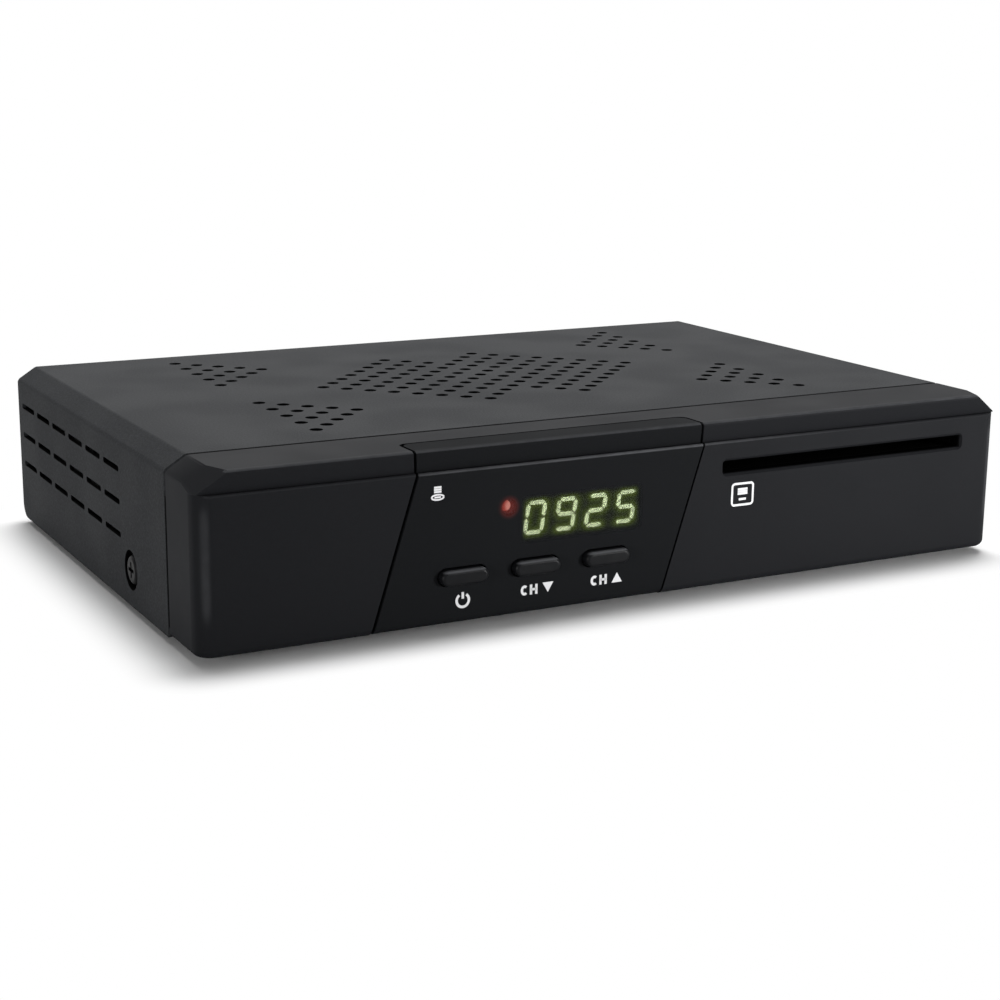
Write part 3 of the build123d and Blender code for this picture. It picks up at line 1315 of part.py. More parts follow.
def digital_audio_insulator():
    """The coloured insulator inside the sleeve, bored for the plug's pin."""
    front = REAR_WALL_INNER - PLAY
    rear = REAR_WALL_OUTER + AUDIO_SLEEVE_REACH - AUDIO_CORE_SETBACK
    radius = AUDIO_SLEEVE_RADIUS - AUDIO_SLEEVE_WALL - THREAD_GAP
    core = rod(AUDIO_X, audio_z(), front, rear, radius)
    return core - rod(AUDIO_X, audio_z(), front + SHEET, rear + OVER, AUDIO_BORE)


def av_slots():
    """X and Z of the contact slots: two staggered rows."""
    middle = BOARD_TOP + AV_HEIGHT / 2
    places = []
    for k in range(AV_CONTACTS_PER_ROW):
        x = AV_X + (k - (AV_CONTACTS_PER_ROW - 1) / 2) * AV_PITCH
        places.append((x + AV_PITCH / 4, middle + AV_ROW_OFFSET))
        places.append((x - AV_PITCH / 4, middle - AV_ROW_OFFSET))
    return places


def av_face(width, height):
    """The audio and video socket's D-shaped face in X and Z, with one slanting end."""
    middle = BOARD_TOP + AV_HEIGHT / 2
    half = width / 2
    tall = height / 2
    return outline(
        (AV_X - half, middle - tall),
        (AV_X + half, middle - tall),
        (AV_X + half, middle + tall),
        (AV_X - half + AV_SLANT, middle + tall),
        (AV_X - half, middle + tall - AV_SLANT),
    )


def av_socket_body():
    """The audio and video socket's block, with the plug shell's groove and the contact slots."""
    half = AV_WIDTH / 2
    front = REAR_WALL_OUTER - AV_DEPTH
    body = block(AV_X - half, AV_X + half, front, REAR_WALL_OUTER + SOCKET_PROUD,
                 BOARD_TOP, BOARD_TOP + AV_HEIGHT)
    groove = av_face(AV_RING_WIDTH, AV_RING_HEIGHT)
    groove -= av_face(AV_RING_WIDTH - 2 * AV_RING, AV_RING_HEIGHT - 2 * AV_RING)
    body -= along_y(groove, REAR_WALL_OUTER - AV_RING_DEPTH, REAR_WALL_OUTER + OVER)
    slot = Rectangle(AV_SLOT_WIDTH, AV_SLOT_HEIGHT)
    slots = Sketch() + [Pos(x, z) * slot for x, z in av_slots()]
    return body - along_y(slots, REAR_WALL_OUTER - AV_SLOT_DEPTH, REAR_WALL_OUTER + OVER)


def av_socket_contacts():
    """A blade in each contact slot."""
    thick = AV_BLADE_THICK / 2
    tall = AV_BLADE_HEIGHT / 2
    return solids_of([block(x - thick, x + thick, REAR_WALL_OUTER - AV_SLOT_DEPTH,
                            REAR_WALL_OUTER - PIN_SETBACK, z - tall, z + tall)
                      for x, z in av_slots()])


def dc_z():
    """Height of the DC jack's axis."""
    return BOARD_TOP + DC_HEIGHT - DC_WIDTH / 2


def dc_jack_body():
    """The DC jack's block, bored from the rear."""
    half = DC_WIDTH / 2
    front = REAR_WALL_OUTER - DC_DEPTH
    body = block(DC_X - half, DC_X + half, front, REAR_WALL_OUTER + SOCKET_PROUD,
                 BOARD_TOP, BOARD_TOP + DC_HEIGHT)
    return body - rod(DC_X, dc_z(), REAR_WALL_OUTER - DC_BORE_DEPTH, REAR_WALL_OUTER + OVER,
                      DC_BORE)


def dc_jack_pin():
    """The DC jack's centre pin."""
    return rod(DC_X, dc_z(), REAR_WALL_OUTER - DC_BORE_DEPTH, REAR_WALL_OUTER - PIN_SETBACK,
               DC_PIN_RADIUS)


# ================================================================ card reader
def card_reader_frame():
    """The reader's tray on four legs; a card slides in over its floor."""
    x0 = SLOT_X - READER_HALF
    x1 = SLOT_X + READER_HALF
    floor = SLOT_Z - READER_FLOOR
    frame = block(x0, x1, READER_FRONT_Y, READER_REAR_Y, floor, READER_TOP)
    channel = SLOT_WIDTH / 2
    frame -= block(SLOT_X - channel, SLOT_X + channel, READER_FRONT_Y - OVER,
                   READER_REAR_Y - READER_WALL, SLOT_Z, READER_TOP + OVER)
    window = READER_WINDOW_WIDTH / 2
    frame -= block(SLOT_X - window, SLOT_X + window, READER_FRONT_Y + READER_WINDOW_FRONT,
                   READER_REAR_Y - READER_WINDOW_REAR, floor - OVER, SLOT_Z + OVER)
    half = READER_LEG / 2
    for x in (x0 + half, x1 - half):
        for y in (READER_LEG_Y, READER_REAR_Y - half):
            frame += block(x - half, x + half, y - half, y + half, BOARD_TOP, floor + ROOT)
    return frame


def card_reader_cover():
    """The steel plate over the card channel, with ribs pressed along it."""
    x0 = SLOT_X - READER_HALF
    x1 = SLOT_X + READER_HALF
    plate = block(x0, x1, READER_FRONT_Y, READER_REAR_Y, READER_TOP, READER_TOP + READER_LID)
    middle_y = (READER_FRONT_Y + READER_REAR_Y) / 2
    rib = SlotOverall(READER_DEPTH / 2, READER_RIB_WIDTH, rotation=90)
    ribs = Sketch() + [Pos(SLOT_X + dx, middle_y) * rib for dx in (-READER_RIB_X, READER_RIB_X)]
    hole = RectangleRounded(READER_HOLE_WIDTH, READER_HOLE_LENGTH, READER_WALL)
    lid_top = READER_TOP + READER_LID
    plate += along_z(ribs, READER_TOP + READER_LID / 2, lid_top + READER_RIB_HEIGHT)
    return plate - along_z(Pos(SLOT_X, middle_y) * hole, READER_TOP - OVER, lid_top + OVER)


def card_contacts():
    """Eight contact springs in two rows on the reader's floor."""
    y = READER_REAR_Y - CARD_CONTACT_MARGIN
    rows = CARD_CONTACT_COUNT // 2
    springs = []
    for side in (-1, 1):
        for k in range(rows):
            x = SLOT_X + (k - (rows - 1) / 2) * CARD_CONTACT_PITCH
            springs.append(square_on(x, y + side * CARD_CONTACT_ROWS / 2, SLOT_Z,
                                     CARD_CONTACT_WIDTH, CARD_CONTACT_LENGTH,
                                     CARD_CONTACT_THICK))
    return solids_of(springs)


def card_detect_switch():
    """The small switch at the end of the card channel."""
    rear = READER_REAR_Y - READER_WALL
    return square_on(SLOT_X + DETECT_X, rear - DETECT_DEPTH / 2, SLOT_Z, DETECT_WIDTH,
                     DETECT_DEPTH, DETECT_HEIGHT)


# ================================================================ all the pieces
def pieces():
    """Every node's name and the function that makes it."""
    power_x, down_x, up_x = button_places()
    return {
        "top_cover": top_cover,
        "base_chassis": base_chassis,
        "front_panel": front_panel,
        "display_insert": display_insert,
        "rubber_feet": rubber_feet,
        "power_button": lambda: button(power_x),
        "channel_down_button": lambda: button(down_x),
        "channel_up_button": lambda: button(up_x),
        "power_plunger": lambda: switch_plunger(power_x),
        "channel_down_plunger": lambda: switch_plunger(down_x),
        "channel_up_plunger": lambda: switch_plunger(up_x),
        "tact_switches": tact_switches,
        "display_module": display_module,
        "lit_segments": lambda: digit_segments(True),
        "dark_segments": lambda: digit_segments(False),
        "status_led": status_led,
        "ir_receiver": ir_receiver,
        "front_board": front_board,
        "cable_headers": cable_headers,
        "ribbon_cable": ribbon_cable,
        "cover_side_screws": cover_side_screws,
        "cover_rear_screws": cover_rear_screws,
        "front_panel_screws": front_panel_screws,
        "front_board_screws": front_board_screws,
        "main_board_screws": main_board_screws,
        "main_board": main_board,
        "main_processor": main_processor,
        "thermal_pad": thermal_pad,
        "heatsink": heatsink,
        "memory_chips": memory_chips,
        "flash_chip": flash_chip,
        "electrolytic_capacitors": electrolytic_capacitors,
        "power_inductors": power_inductors,
        "voltage_regulators": voltage_regulators,
        "crystal": crystal,
        "tuner_frame": tuner_frame,
        "tuner_lid": tuner_lid,
        "lnb_in_connector": lambda: f_connector(F_IN_X),
        "lnb_out_connector": lambda: f_connector(F_OUT_X),
        "f_connector_insulators": f_connector_insulators,
        "f_connector_washers": f_connector_washers,
        "f_connector_nuts": f_connector_nuts,
        "data_socket_shell": data_socket_shell,
        "data_socket_tongue": data_socket_tongue,
        "video_socket_shell": video_socket_shell,
        "video_socket_tongue": video_socket_tongue,
        "digital_audio_body": digital_audio_body,
        "digital_audio_sleeve": digital_audio_sleeve,
        "digital_audio_insulator": digital_audio_insulator,
        "av_socket_body": av_socket_body,
        "av_socket_contacts": av_socket_contacts,
        "dc_jack_body": dc_jack_body,
        "dc_jack_pin": dc_jack_pin,
        "card_reader_frame": card_reader_frame,
        "card_reader_cover": card_reader_cover,
        "card_contacts": card_contacts,
        "card_detect_switch": card_detect_switch,
    }


os.makedirs("parts", exist_ok=True)
for node, make in pieces().items():
    save(node, make())
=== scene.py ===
import json
import math

import bmesh
import bpy
import numpy as np
from mathutils import Matrix, Vector


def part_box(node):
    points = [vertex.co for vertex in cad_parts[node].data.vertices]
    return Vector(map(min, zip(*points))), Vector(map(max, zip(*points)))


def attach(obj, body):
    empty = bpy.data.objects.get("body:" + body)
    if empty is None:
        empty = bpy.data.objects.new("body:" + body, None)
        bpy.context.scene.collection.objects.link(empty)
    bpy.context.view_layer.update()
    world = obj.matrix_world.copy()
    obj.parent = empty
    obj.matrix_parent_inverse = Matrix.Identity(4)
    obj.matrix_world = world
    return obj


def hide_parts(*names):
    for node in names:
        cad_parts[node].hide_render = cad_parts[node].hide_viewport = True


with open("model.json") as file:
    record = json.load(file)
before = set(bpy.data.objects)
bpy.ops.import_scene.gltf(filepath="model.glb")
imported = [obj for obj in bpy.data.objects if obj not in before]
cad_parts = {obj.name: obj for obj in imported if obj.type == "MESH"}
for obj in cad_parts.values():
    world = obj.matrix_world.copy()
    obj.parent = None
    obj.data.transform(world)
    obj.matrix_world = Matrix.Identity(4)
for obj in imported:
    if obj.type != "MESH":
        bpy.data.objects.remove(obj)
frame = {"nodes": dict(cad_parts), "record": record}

# A satellite television receiver: its finishes, its printed marks, the light round its digits
# and the threads of its aerial studs. Lengths are in metres; MM turns millimetres into them.
MM = 0.001

# ---------------------------------------------------------------- camera
CAMERA_PLACE = (-181.705 * MM, -344.894 * MM, 101.18 * MM)
CAMERA_AZIMUTH = math.radians(-28.139)
CAMERA_ELEVATION = math.radians(13.599)
CAMERA_ROLL = math.radians(0.554)
CAMERA_LENS = 68.87
CAMERA_SENSOR = 36
CAMERA_NEAR = 0.01

# ---------------------------------------------------------------- studio
FILL_LEVEL = 0.12           # the world's light on things; it shows as 1, white
FLOOR_HALF = 3.0            # half a side of the floor
FLOOR_PALE = (0.88, 0.88, 0.88)
SHADOW_REACH = 13 * MM      # from the receiver's outline, the floor fades to white over this
SOFT_LAMPS = {              # place, side and power; both are turned to the receiver
    "overhead": ((0.25, 0.40, 0.85), 0.9, 15.5),
    "side_glow": ((-0.70, -0.32, 0.10), 0.25, 2.4),
}
BEAM_PLACE = (0.46, -0.55, 0.055)
BEAM_TARGET = (0.062, -0.060, 0.030)
BEAM_RADIUS = 0.09
BEAM_ANGLE = math.radians(25)
BEAM_POWER = 34.0

# ---------------------------------------------------------------- the receiver's places
record = frame["record"]
node_body = {n: body for body, nodes in record["behaviour"]["bodies"].items() for n in nodes}
node_slot = {part["node"]: part["material_slot"] for part in record["subparts"]}
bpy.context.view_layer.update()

BEYOND = -1.0               # lower than any place on the receiver
TOP_OVERHANG = 0.15 * MM    # the panel's rounded top edge overhangs its face by this much
panel_low, panel_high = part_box("front_panel")
panel_face = panel_low.y + TOP_OVERHANG
insert_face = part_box("display_insert")[0].y
casing_side = panel_high.x
casing_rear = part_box("base_chassis")[1].y
casing_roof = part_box("top_cover")[1].z
LEDGE_TOP = 28.95 * MM      # height of the ledge across the front
SLOT_X = (18.4 * MM, 74.9 * MM)
SLOT_Z = (22.8 * MM, 25.0 * MM)

# ---------------------------------------------------------------- meshes
SMOOTH_ANGLE = math.radians(25)
BLEND_ANGLE = math.radians(32)  # faces that turn less than this share their shading
FLAT_STEP = 0.02 * MM       # faces in one plane to within this belong to one flat side
WELD = 0.001 * MM

# ---------------------------------------------------------------- aerial studs
STUDS = ("lnb_in_connector", "lnb_out_connector")
THREAD_PITCH = 25.4 * MM / 32
THREAD_DEPTH = 0.35 * MM
THREAD_FINE = 8             # rings of points for each turn of the thread
ROUND_POINTS = 96
STUD_CHAMFER = 0.4 * MM
STUD_BORE = 3.5 * MM        # radius
STUD_BORE_DEPTH = 9.5 * MM

# ---------------------------------------------------------------- light round the digits
HALO_NAME = "halo"
HALO_REACH = 0.7 * MM
HALO_LEVEL = 0.62
HALO_MARGIN = 1.6 * MM      # the film reaches this far past the segments
HALO_STEP = 0.16 * MM       # size of a cell of the film
FILM_GAP = 0.02 * MM
FILM_THICK = 0.01 * MM

# ---------------------------------------------------------------- prints
PRINT_THICK = 0.03 * MM
PRINT_LINE = 0.48 * MM      # stroke of the letters
LETTER_WIDE = 1.55 * MM
LETTER_TALL = 1.85 * MM
LETTER_C_AT = -2.45 * MM    # from the middle of a channel's legend
LETTER_H_AT = -0.6 * MM
TRIANGLE_AT = (2.3 * MM, 0.05 * MM)
TRIANGLE_WIDE = 2.2 * MM
POWER_RADIUS = 1.2 * MM
LEGEND_DROP = 4.5 * MM      # from a button's middle down to its legend
POWER_SHIFT = 0.05 * MM     # the legends sit a little to the right of their buttons
DOWN_SHIFT = 0.35 * MM
UP_SHIFT = 0.3 * MM
CHANNEL_RISE = 0.2 * MM     # the channel legends sit a little higher than the power mark
EYE_MARK_AT = (-41.8 * MM, 24.9 * MM)
CARD_MARK_AT = (22.65 * MM, 18.5 * MM)


# ================================================================ mesh helpers
def add_object(name, mesh, body, finish):
    """Puts a finished mesh in the scene: it rides on a body and wears a finish."""
    piece = bpy.data.objects.new(name, mesh)
    bpy.context.scene.collection.objects.link(piece)
    mesh.materials.clear()
    mesh.materials.append(finish)
    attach(piece, body)
    return piece


def grid_mesh(name, points):
    """A mesh from an array of points of shape (rows, columns, 3): each cell of the grid is a
    face, and the last column joins the first."""
    rows, columns = points.shape[:2]
    index = np.arange(rows * columns).reshape(rows, columns)
    index = np.hstack([index, index[:, :1]])
    faces = np.stack([index[:-1, :-1], index[1:, :-1], index[1:, 1:], index[:-1, 1:]], -1)
    mesh = bpy.data.meshes.new(name)
    mesh.from_pydata(points.reshape(-1, 3).tolist(), [], faces.reshape(-1, 4).tolist())
    return mesh


def weld(mesh, turn_out=True):
    """Merges points that lie together and, where asked to, turns every face outwards."""
    work = bmesh.new()
    work.from_mesh(mesh)
    bmesh.ops.remove_doubles(work, verts=work.verts, dist=WELD)
    if turn_out:
        bmesh.ops.recalc_face_normals(work, faces=work.faces)
    work.to_mesh(mesh)
    work.free()


def join(name, meshes):
    """One mesh from several."""
    work = bmesh.new()
    for mesh in meshes:
        work.from_mesh(mesh)
        bpy.data.meshes.remove(mesh)
    joined = bpy.data.meshes.new(name)
    work.to_mesh(joined)
    work.free()
    return joined


def read(items, field, kind=float):
    """One number for each item of a mesh, as an array."""
    values = np.empty(len(items), kind)
    items.foreach_get(field, values)
    return values


def read_rows(items, field, kind=float):
    """Three numbers for each item of a mesh, as rows of an array."""
    values = np.empty(3 * len(items), kind)
    items.foreach_get(field, values)
    return values.reshape(-1, 3)


def calm_shading(mesh):
    """Shades a mesh so that its flat sides stay flat in the light and its rounded edges take up
    the whole turn: the normal at a corner is the mean of the normals of the faces at that point
    that turn less than BLEND_ANGLE from the corner's own face, each weighted by the area of the
    whole flat side that it is part of."""
    corners = len(mesh.loops)
    point = read(mesh.loops, "vertex_index", np.int32)
    face = np.repeat(np.arange(len(mesh.polygons)), read(mesh.polygons, "loop_total", np.int32))
    normal = read_rows(mesh.polygons, "normal")
    away = (normal * read_rows(mesh.polygons, "center")).sum(1)
    plane = np.column_stack([np.round(normal, 2), np.round(away / FLAT_STEP)]) + 0.0
    side = np.unique(plane, axis=0, return_inverse=True)[1].ravel()
    side_area = np.bincount(side, read(mesh.polygons, "area"))[side]

    order = np.argsort(point, kind="stable")
    start = np.searchsorted(point[order], point, "left")
    shared = np.searchsorted(point[order], point, "right") - start
    here = np.repeat(np.arange(corners), shared)
    rank = np.arange(len(here)) - np.repeat(np.cumsum(shared) - shared, shared)
    there = order[np.repeat(start, shared) + rank]
    turn = (normal[face[here]] * normal[face[there]]).sum(1)
    weight = side_area[face[there]] * (turn > math.cos(BLEND_ANGLE))
    mean = np.stack([np.bincount(here, weight * normal[face[there], axis], corners)
                     for axis in range(3)], -1)
    mean /= np.linalg.norm(mean, axis=1, keepdims=True)
    mesh.shade_smooth()
    mesh.normals_split_custom_set(mean.tolist())


# ================================================================ material helpers
NOISE_SPAN = (0.3, 0.7)     # a noise rarely leaves this


def finish_of(name, colour, roughness, metallic=0.0, specular=0.5):
    """A Principled material with plain values, and its node tree and shader."""
    material = bpy.data.materials.new(name)
    material.use_nodes = True
    tree = material.node_tree
    shader = tree.nodes["Principled BSDF"]
    shader.inputs["Base Color"].default_value = (*colour, 1.0)
    shader.inputs["Roughness"].default_value = roughness
    shader.inputs["Metallic"].default_value = metallic
    shader.inputs["Specular IOR Level"].default_value = specular
    return material, tree, shader


def place_on(tree, scale=(1, 1, 1)):
    """Object coordinates through a Mapping node, stretched by scale."""
    source = tree.nodes.new("ShaderNodeTexCoord")
    mapping = tree.nodes.new("ShaderNodeMapping")
    mapping.inputs["Scale"].default_value = scale
    tree.links.new(source.outputs["Object"], mapping.inputs["Vector"])
    return mapping.outputs["Vector"]


def axes(tree):
    """The place on the piece, split into X, Y and Z."""
    split = tree.nodes.new("ShaderNodeSeparateXYZ")
    tree.links.new(place_on(tree), split.inputs["Vector"])
    return split.outputs


def math_step(tree, operation, *factors):
    """One step of arithmetic on one or two factors."""
    node = tree.nodes.new("ShaderNodeMath")
    node.operation = operation
    for socket, factor in zip(node.inputs, factors):
        tree.links.new(factor, socket)
    return node.outputs[0]


def product(tree, first, *others):
    """The product of two or more factors."""
    for other in others:
        first = math_step(tree, "MULTIPLY", first, other)
    return first


def largest(tree, first, *others):
    """The largest of two or more factors."""
    for other in others:
        first = math_step(tree, "MAXIMUM", first, other)
    return first


def vector_step(tree, operation, vector, value=None):
    """One step of arithmetic on a vector, with a fixed vector where the step needs one."""
    node = tree.nodes.new("ShaderNodeVectorMath")
    node.operation = operation
    tree.links.new(vector, node.inputs[0])
    if value is not None:
        node.inputs[1].default_value = value
    return node.outputs["Value" if operation == "LENGTH" else "Vector"]


def ranged(tree, factor, low, high, out_low, out_high):
    """A factor's stretch from low to high, brought smoothly to out_low and out_high."""
    node = tree.nodes.new("ShaderNodeMapRange")
    node.interpolation_type = "SMOOTHSTEP"
    for socket, value in zip(("From Min", "From Max", "To Min", "To Max"),
                             (low, high, out_low, out_high)):
        node.inputs[socket].default_value = value
    tree.links.new(factor, node.inputs["Value"])
    return node.outputs["Result"]


def within(tree, value, low, high, soft):
    """1 where a value lies between low and high, 0 outside, with a soft step at both ends."""
    above = ranged(tree, value, low - soft, low + soft, 0.0, 1.0)
    below = ranged(tree, value, high - soft, high + soft, 1.0, 0.0)
    return product(tree, above, below)


def grain(tree, size, detail=2.0, stretch=(1, 1, 1)):
    """Noise whose grains are about size across, as a factor from 0 to 1."""
    noise = tree.nodes.new("ShaderNodeTexNoise")
    noise.inputs["Scale"].default_value = 1 / size
    noise.inputs["Detail"].default_value = detail
    tree.links.new(place_on(tree, stretch), noise.inputs["Vector"])
    return noise.outputs["Fac"]


def spread_out(tree, noise, low, high):
    """A noise's usual values brought to low and high."""
    return ranged(tree, noise, *NOISE_SPAN, low, high)


def mix_colours(tree, factor, start, end):
    """A colour that runs from start to end with a factor. Each is a colour or a socket."""
    mix = tree.nodes.new("ShaderNodeMix")
    mix.data_type = "RGBA"
    for socket, colour in (("A", start), ("B", end)):
        if isinstance(colour, tuple):
            mix.inputs[socket].default_value = (*colour, 1.0)
        else:
            tree.links.new(colour, mix.inputs[socket])
    tree.links.new(factor, mix.inputs["Factor"])
    return mix.outputs["Result"]


def vary_colour(tree, shader, factor, dark, light):
    """Base colour that runs from dark to light with a factor."""
    tree.links.new(mix_colours(tree, factor, dark, light), shader.inputs["Base Color"])


def blend_colour(tree, shader, factor, colour):
    """Turns the base colour towards another one by a factor."""
    before = shader.inputs["Base Color"].links[0].from_socket
    tree.links.new(mix_colours(tree, factor, before, colour), shader.inputs["Base Color"])


def vary_roughness(tree, shader, noise, low, high):
    """Roughness that runs from low to high with a noise."""
    tree.links.new(spread_out(tree, noise, low, high), shader.inputs["Roughness"])


def raise_surface(tree, shader, factor, height):
    """Bump of the given height, in metres."""
    bump = tree.nodes.new("ShaderNodeBump")
    bump.inputs["Distance"].default_value = height
    bump.inputs["Strength"].default_value = 1.0
    tree.links.new(factor, bump.inputs["Height"])
    tree.links.new(bump.outputs["Normal"], shader.inputs["Normal"])


def shine(tree, shader, colour, strength):
    """Light of its own. The colour is a colour or a socket, and the strength a socket."""
    if isinstance(colour, tuple):
        shader.inputs["Emission Color"].default_value = (*colour, 1.0)
    else:
        tree.links.new(colour, shader.inputs["Emission Color"])
    tree.links.new(strength, shader.inputs["Emission Strength"])


# ================================================================ casing
CASING_BLACK = (0.023, 0.024, 0.026)
CASING_DARK = (0.018, 0.019, 0.020)     # in the hollows of its grain, and on its tops
CASING_LIGHT = (0.030, 0.031, 0.034)
SHADED = (0.0006, 0.0006, 0.0007)       # painted shade inside slots and under the sheet
BEVEL_WIDTH = 4.1 * MM
SKIN = 0.08 * MM            # deeper than this under its outside, the sheet takes the painted shade
SKIN_EDGE = 0.02 * MM
SIDE_SPAN = (3 * MM, 26 * MM)           # heights between which the sides have slots
REAR_HEM = 2.5 * MM         # the sheet's last stretch, where its inside doesn't show


def shade_under_cover(tree):
    """Mask of the painted shade: 1 on the sheet's hidden side and on the walls of its holes, 0
    on its outside.
    """
    place = axes(tree)
    across = math_step(tree, "ABSOLUTE", place["X"])
    roof = product(
        tree,
        within(tree, across, BEYOND, casing_side - BEVEL_WIDTH, SKIN_EDGE),
        within(tree, place["Z"], SIDE_SPAN[1], casing_roof - SKIN, SKIN_EDGE))
    side = product(
        tree,
        within(tree, across, BEYOND, casing_side - SKIN, SKIN_EDGE),
        within(tree, place["Z"], *SIDE_SPAN, SKIN_EDGE))
    return product(tree, largest(tree, roof, side),
                   within(tree, place["Y"], BEYOND, casing_rear - REAR_HEM, SKIN_EDGE))


def casing_paint():
    """Black powder coat: a fine, even grain over sheet steel, with painted shade on its hidden
    side and on the walls of its holes and slots.
    """
    material, tree, shader = finish_of("casing_paint", CASING_BLACK, 0.65, specular=0.032)
    fine = grain(tree, 0.35 * MM, detail=3.0)
    vary_colour(tree, shader, ranged(tree, fine, 0.35, 0.75, 0.0, 1.0),
                CASING_DARK, CASING_LIGHT)
    vary_roughness(tree, shader, grain(tree, 18 * MM, detail=1.0), 0.61, 0.69)
    raise_surface(tree, shader, fine, 0.02 * MM)
    # painted shade: the hidden side and the walls of holes and slots turn near black
    blend_colour(tree, shader, shade_under_cover(tree), SHADED)
    return material


# ================================================================ black mouldings
PANEL_BLACK = (0.0105, 0.0109, 0.0122)
INSERT_BLACK = (0.0088, 0.0093, 0.0101)
PAINTED_HIGHLIGHT_GREY = (0.092, 0.094, 0.100)       # painted highlight along edges; it also makes the sides a little paler
MOULD_GRAIN = 0.22 * MM
BROAD_GRAIN = 15 * MM
HIGHLIGHT_SOFT = 0.12 * MM
LEDGE_BAND = (LEDGE_TOP - 0.4 * MM, LEDGE_TOP + 0.1 * MM)
LEDGE_DEPTH = 0.4 * MM      # how far behind the panel's face the ledge's painted highlight reaches
PANEL_LEDGE_RISE = (-30 * MM, 5 * MM, 0.10, 0.50)   # from X, to X, painted highlight there and there
PANEL_LEDGE_FALL = (8 * MM, 56 * MM, 1.0, 0.06)
INSERT_LEDGE_RISE = (-45 * MM, 0, 0.55, 0.8)
TOP_BAND = (panel_high.z - 0.35 * MM, panel_high.z - 0.02 * MM)
TOP_DEPTH = 0.8 * MM
TOP_HIGHLIGHT = 0.35
CORNER_BAND = (82.1 * MM, 83.3 * MM)    # the rounded corners' place to either side
CORNER_EDGE = 0.6 * MM
CORNER_ENDS = 2.5 * MM
CORNER_SPAN = (8 * MM, LEDGE_TOP - CORNER_ENDS)
CORNER_HIGHLIGHT = 0.22
SIDE_BAND = (84.0 * MM, 84.4 * MM)
SIDE_PALE = 0.05
SLOT_LIP = 0.15 * MM        # the card slot's painted shade reaches this far onto its bevel
SLOT_EDGE = 0.1 * MM
SLOT_DEPTHS = (0.25 * MM, 20 * MM)      # from and to, behind the panel's face
BUTTON_BLACK = (0.0055, 0.0058, 0.0065)
BUTTON_HIGHLIGHT = 0.7
BUTTON_EDGE = (0.5 * MM, 0.25 * MM)     # the painted highlight starts and is whole this far below the top
BUTTON_FRONT = 0.85 * MM    # depth of the highlighted edge
BUTTON_SOFT = 0.2 * MM
BUTTON_FLANGE = 1.3 * MM    # how far the buttons' hidden flanges reach past their caps
WINDOW_ALPHA = 0.75
WINDOW_EDGE = 2 * MM
LAMP_WINDOW = (1.2 * MM, 1.7 * MM)      # from the lamp's axis, clear up to here and dark there
LAMP_GLOW = (1.0, 0.13, 0.09)
LAMP_GLOW_REACH = (0.6 * MM, 2.4 * MM)
LAMP_GLOW_LEVEL = 0.10


def moulded_black(tree, shader, black, ledge_highlight):
    """The mouldings' colour: black with a fine grain, with a painted highlight of strength
    ledge_highlight along the ledge, weaker painted highlights along the top edge and down the
    rounded corners, and a little paler on the sides. Gives the grain, for the bump."""
    fine = grain(tree, MOULD_GRAIN)
    vary_colour(tree, shader, fine, tuple(0.85 * c for c in black),
                tuple(1.15 * c for c in black))
    place = axes(tree)
    across = math_step(tree, "ABSOLUTE", place["X"])
    ledge = product(
        tree,
        within(tree, place["Z"], *LEDGE_BAND, HIGHLIGHT_SOFT),
        within(tree, place["Y"], BEYOND, panel_face + LEDGE_DEPTH, HIGHLIGHT_SOFT),
        ledge_highlight)
    top = product(
        tree,
        within(tree, place["Z"], *TOP_BAND, HIGHLIGHT_SOFT),
        within(tree, place["Y"], BEYOND, panel_face + TOP_DEPTH, HIGHLIGHT_SOFT))
    corner = product(
        tree,
        within(tree, across, *CORNER_BAND, CORNER_EDGE),
        within(tree, place["Z"], *CORNER_SPAN, CORNER_ENDS))
    # painted highlights along the ledge, the top edge and the corners, and slightly paler sides
    paler = largest(
        tree,
        ledge,
        ranged(tree, across, *SIDE_BAND, 0.0, SIDE_PALE),
        ranged(tree, top, 0, 1, 0, TOP_HIGHLIGHT),
        ranged(tree, corner, 0, 1, 0, CORNER_HIGHLIGHT))
    patchy = spread_out(tree, grain(tree, 3 * MM), 0.75, 1.0)
    blend_colour(tree, shader, product(tree, paler, patchy), PAINTED_HIGHLIGHT_GREY)
    return fine


def panel_plastic():
    """Satin black moulding with the faint grain of a spark-eroded mould, with painted shade
    inside the card slot.
    """
    material, tree, shader = finish_of("panel_plastic", PANEL_BLACK, 0.54, specular=0.019)
    place = axes(tree)
    # painted highlight along the panel's ledge, rising and then falling along X
    rising = ranged(tree, place["X"], *PANEL_LEDGE_RISE)
    falling = ranged(tree, place["X"], *PANEL_LEDGE_FALL)
    fine = moulded_black(tree, shader, PANEL_BLACK, product(tree, rising, falling))
    # painted shade inside the card slot
    slot = product(
        tree,
        within(tree, place["X"], SLOT_X[0] - SLOT_LIP, SLOT_X[1] + SLOT_LIP, SLOT_EDGE),
        within(tree, place["Z"], SLOT_Z[0] - SLOT_LIP, SLOT_Z[1] + SLOT_LIP, SLOT_EDGE),
        within(tree, place["Y"], panel_face + SLOT_DEPTHS[0], panel_face + SLOT_DEPTHS[1],
               SLOT_EDGE))
    blend_colour(tree, shader, slot, SHADED)
    vary_roughness(tree, shader, grain(tree, BROAD_GRAIN, detail=1.0), 0.51, 0.57)
    raise_surface(tree, shader, fine, 0.006 * MM)
    return material


def window_mask(tree, node, edge):
    """1 inside a node's box in X and Z and 0 outside it, with a soft edge."""
    low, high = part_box(node)
    place = axes(tree)
    soft = edge / 2
    return product(tree, within(tree, place["X"], low.x + soft, high.x - soft, soft),
                   within(tree, place["Z"], low.z + soft, high.z - soft, soft))


def lamp_distance(tree, shift=0.0):
    """Distance from the status lamp's axis, which runs along Y, or from a line beside it."""
    low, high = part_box("status_led")
    centre = (low + high) / 2 + Vector((shift, 0, 0))
    from_centre = vector_step(tree, "SUBTRACT", place_on(tree), centre)
    return vector_step(tree, "LENGTH", vector_step(tree, "MULTIPLY", from_centre, (1, 0, 1)))


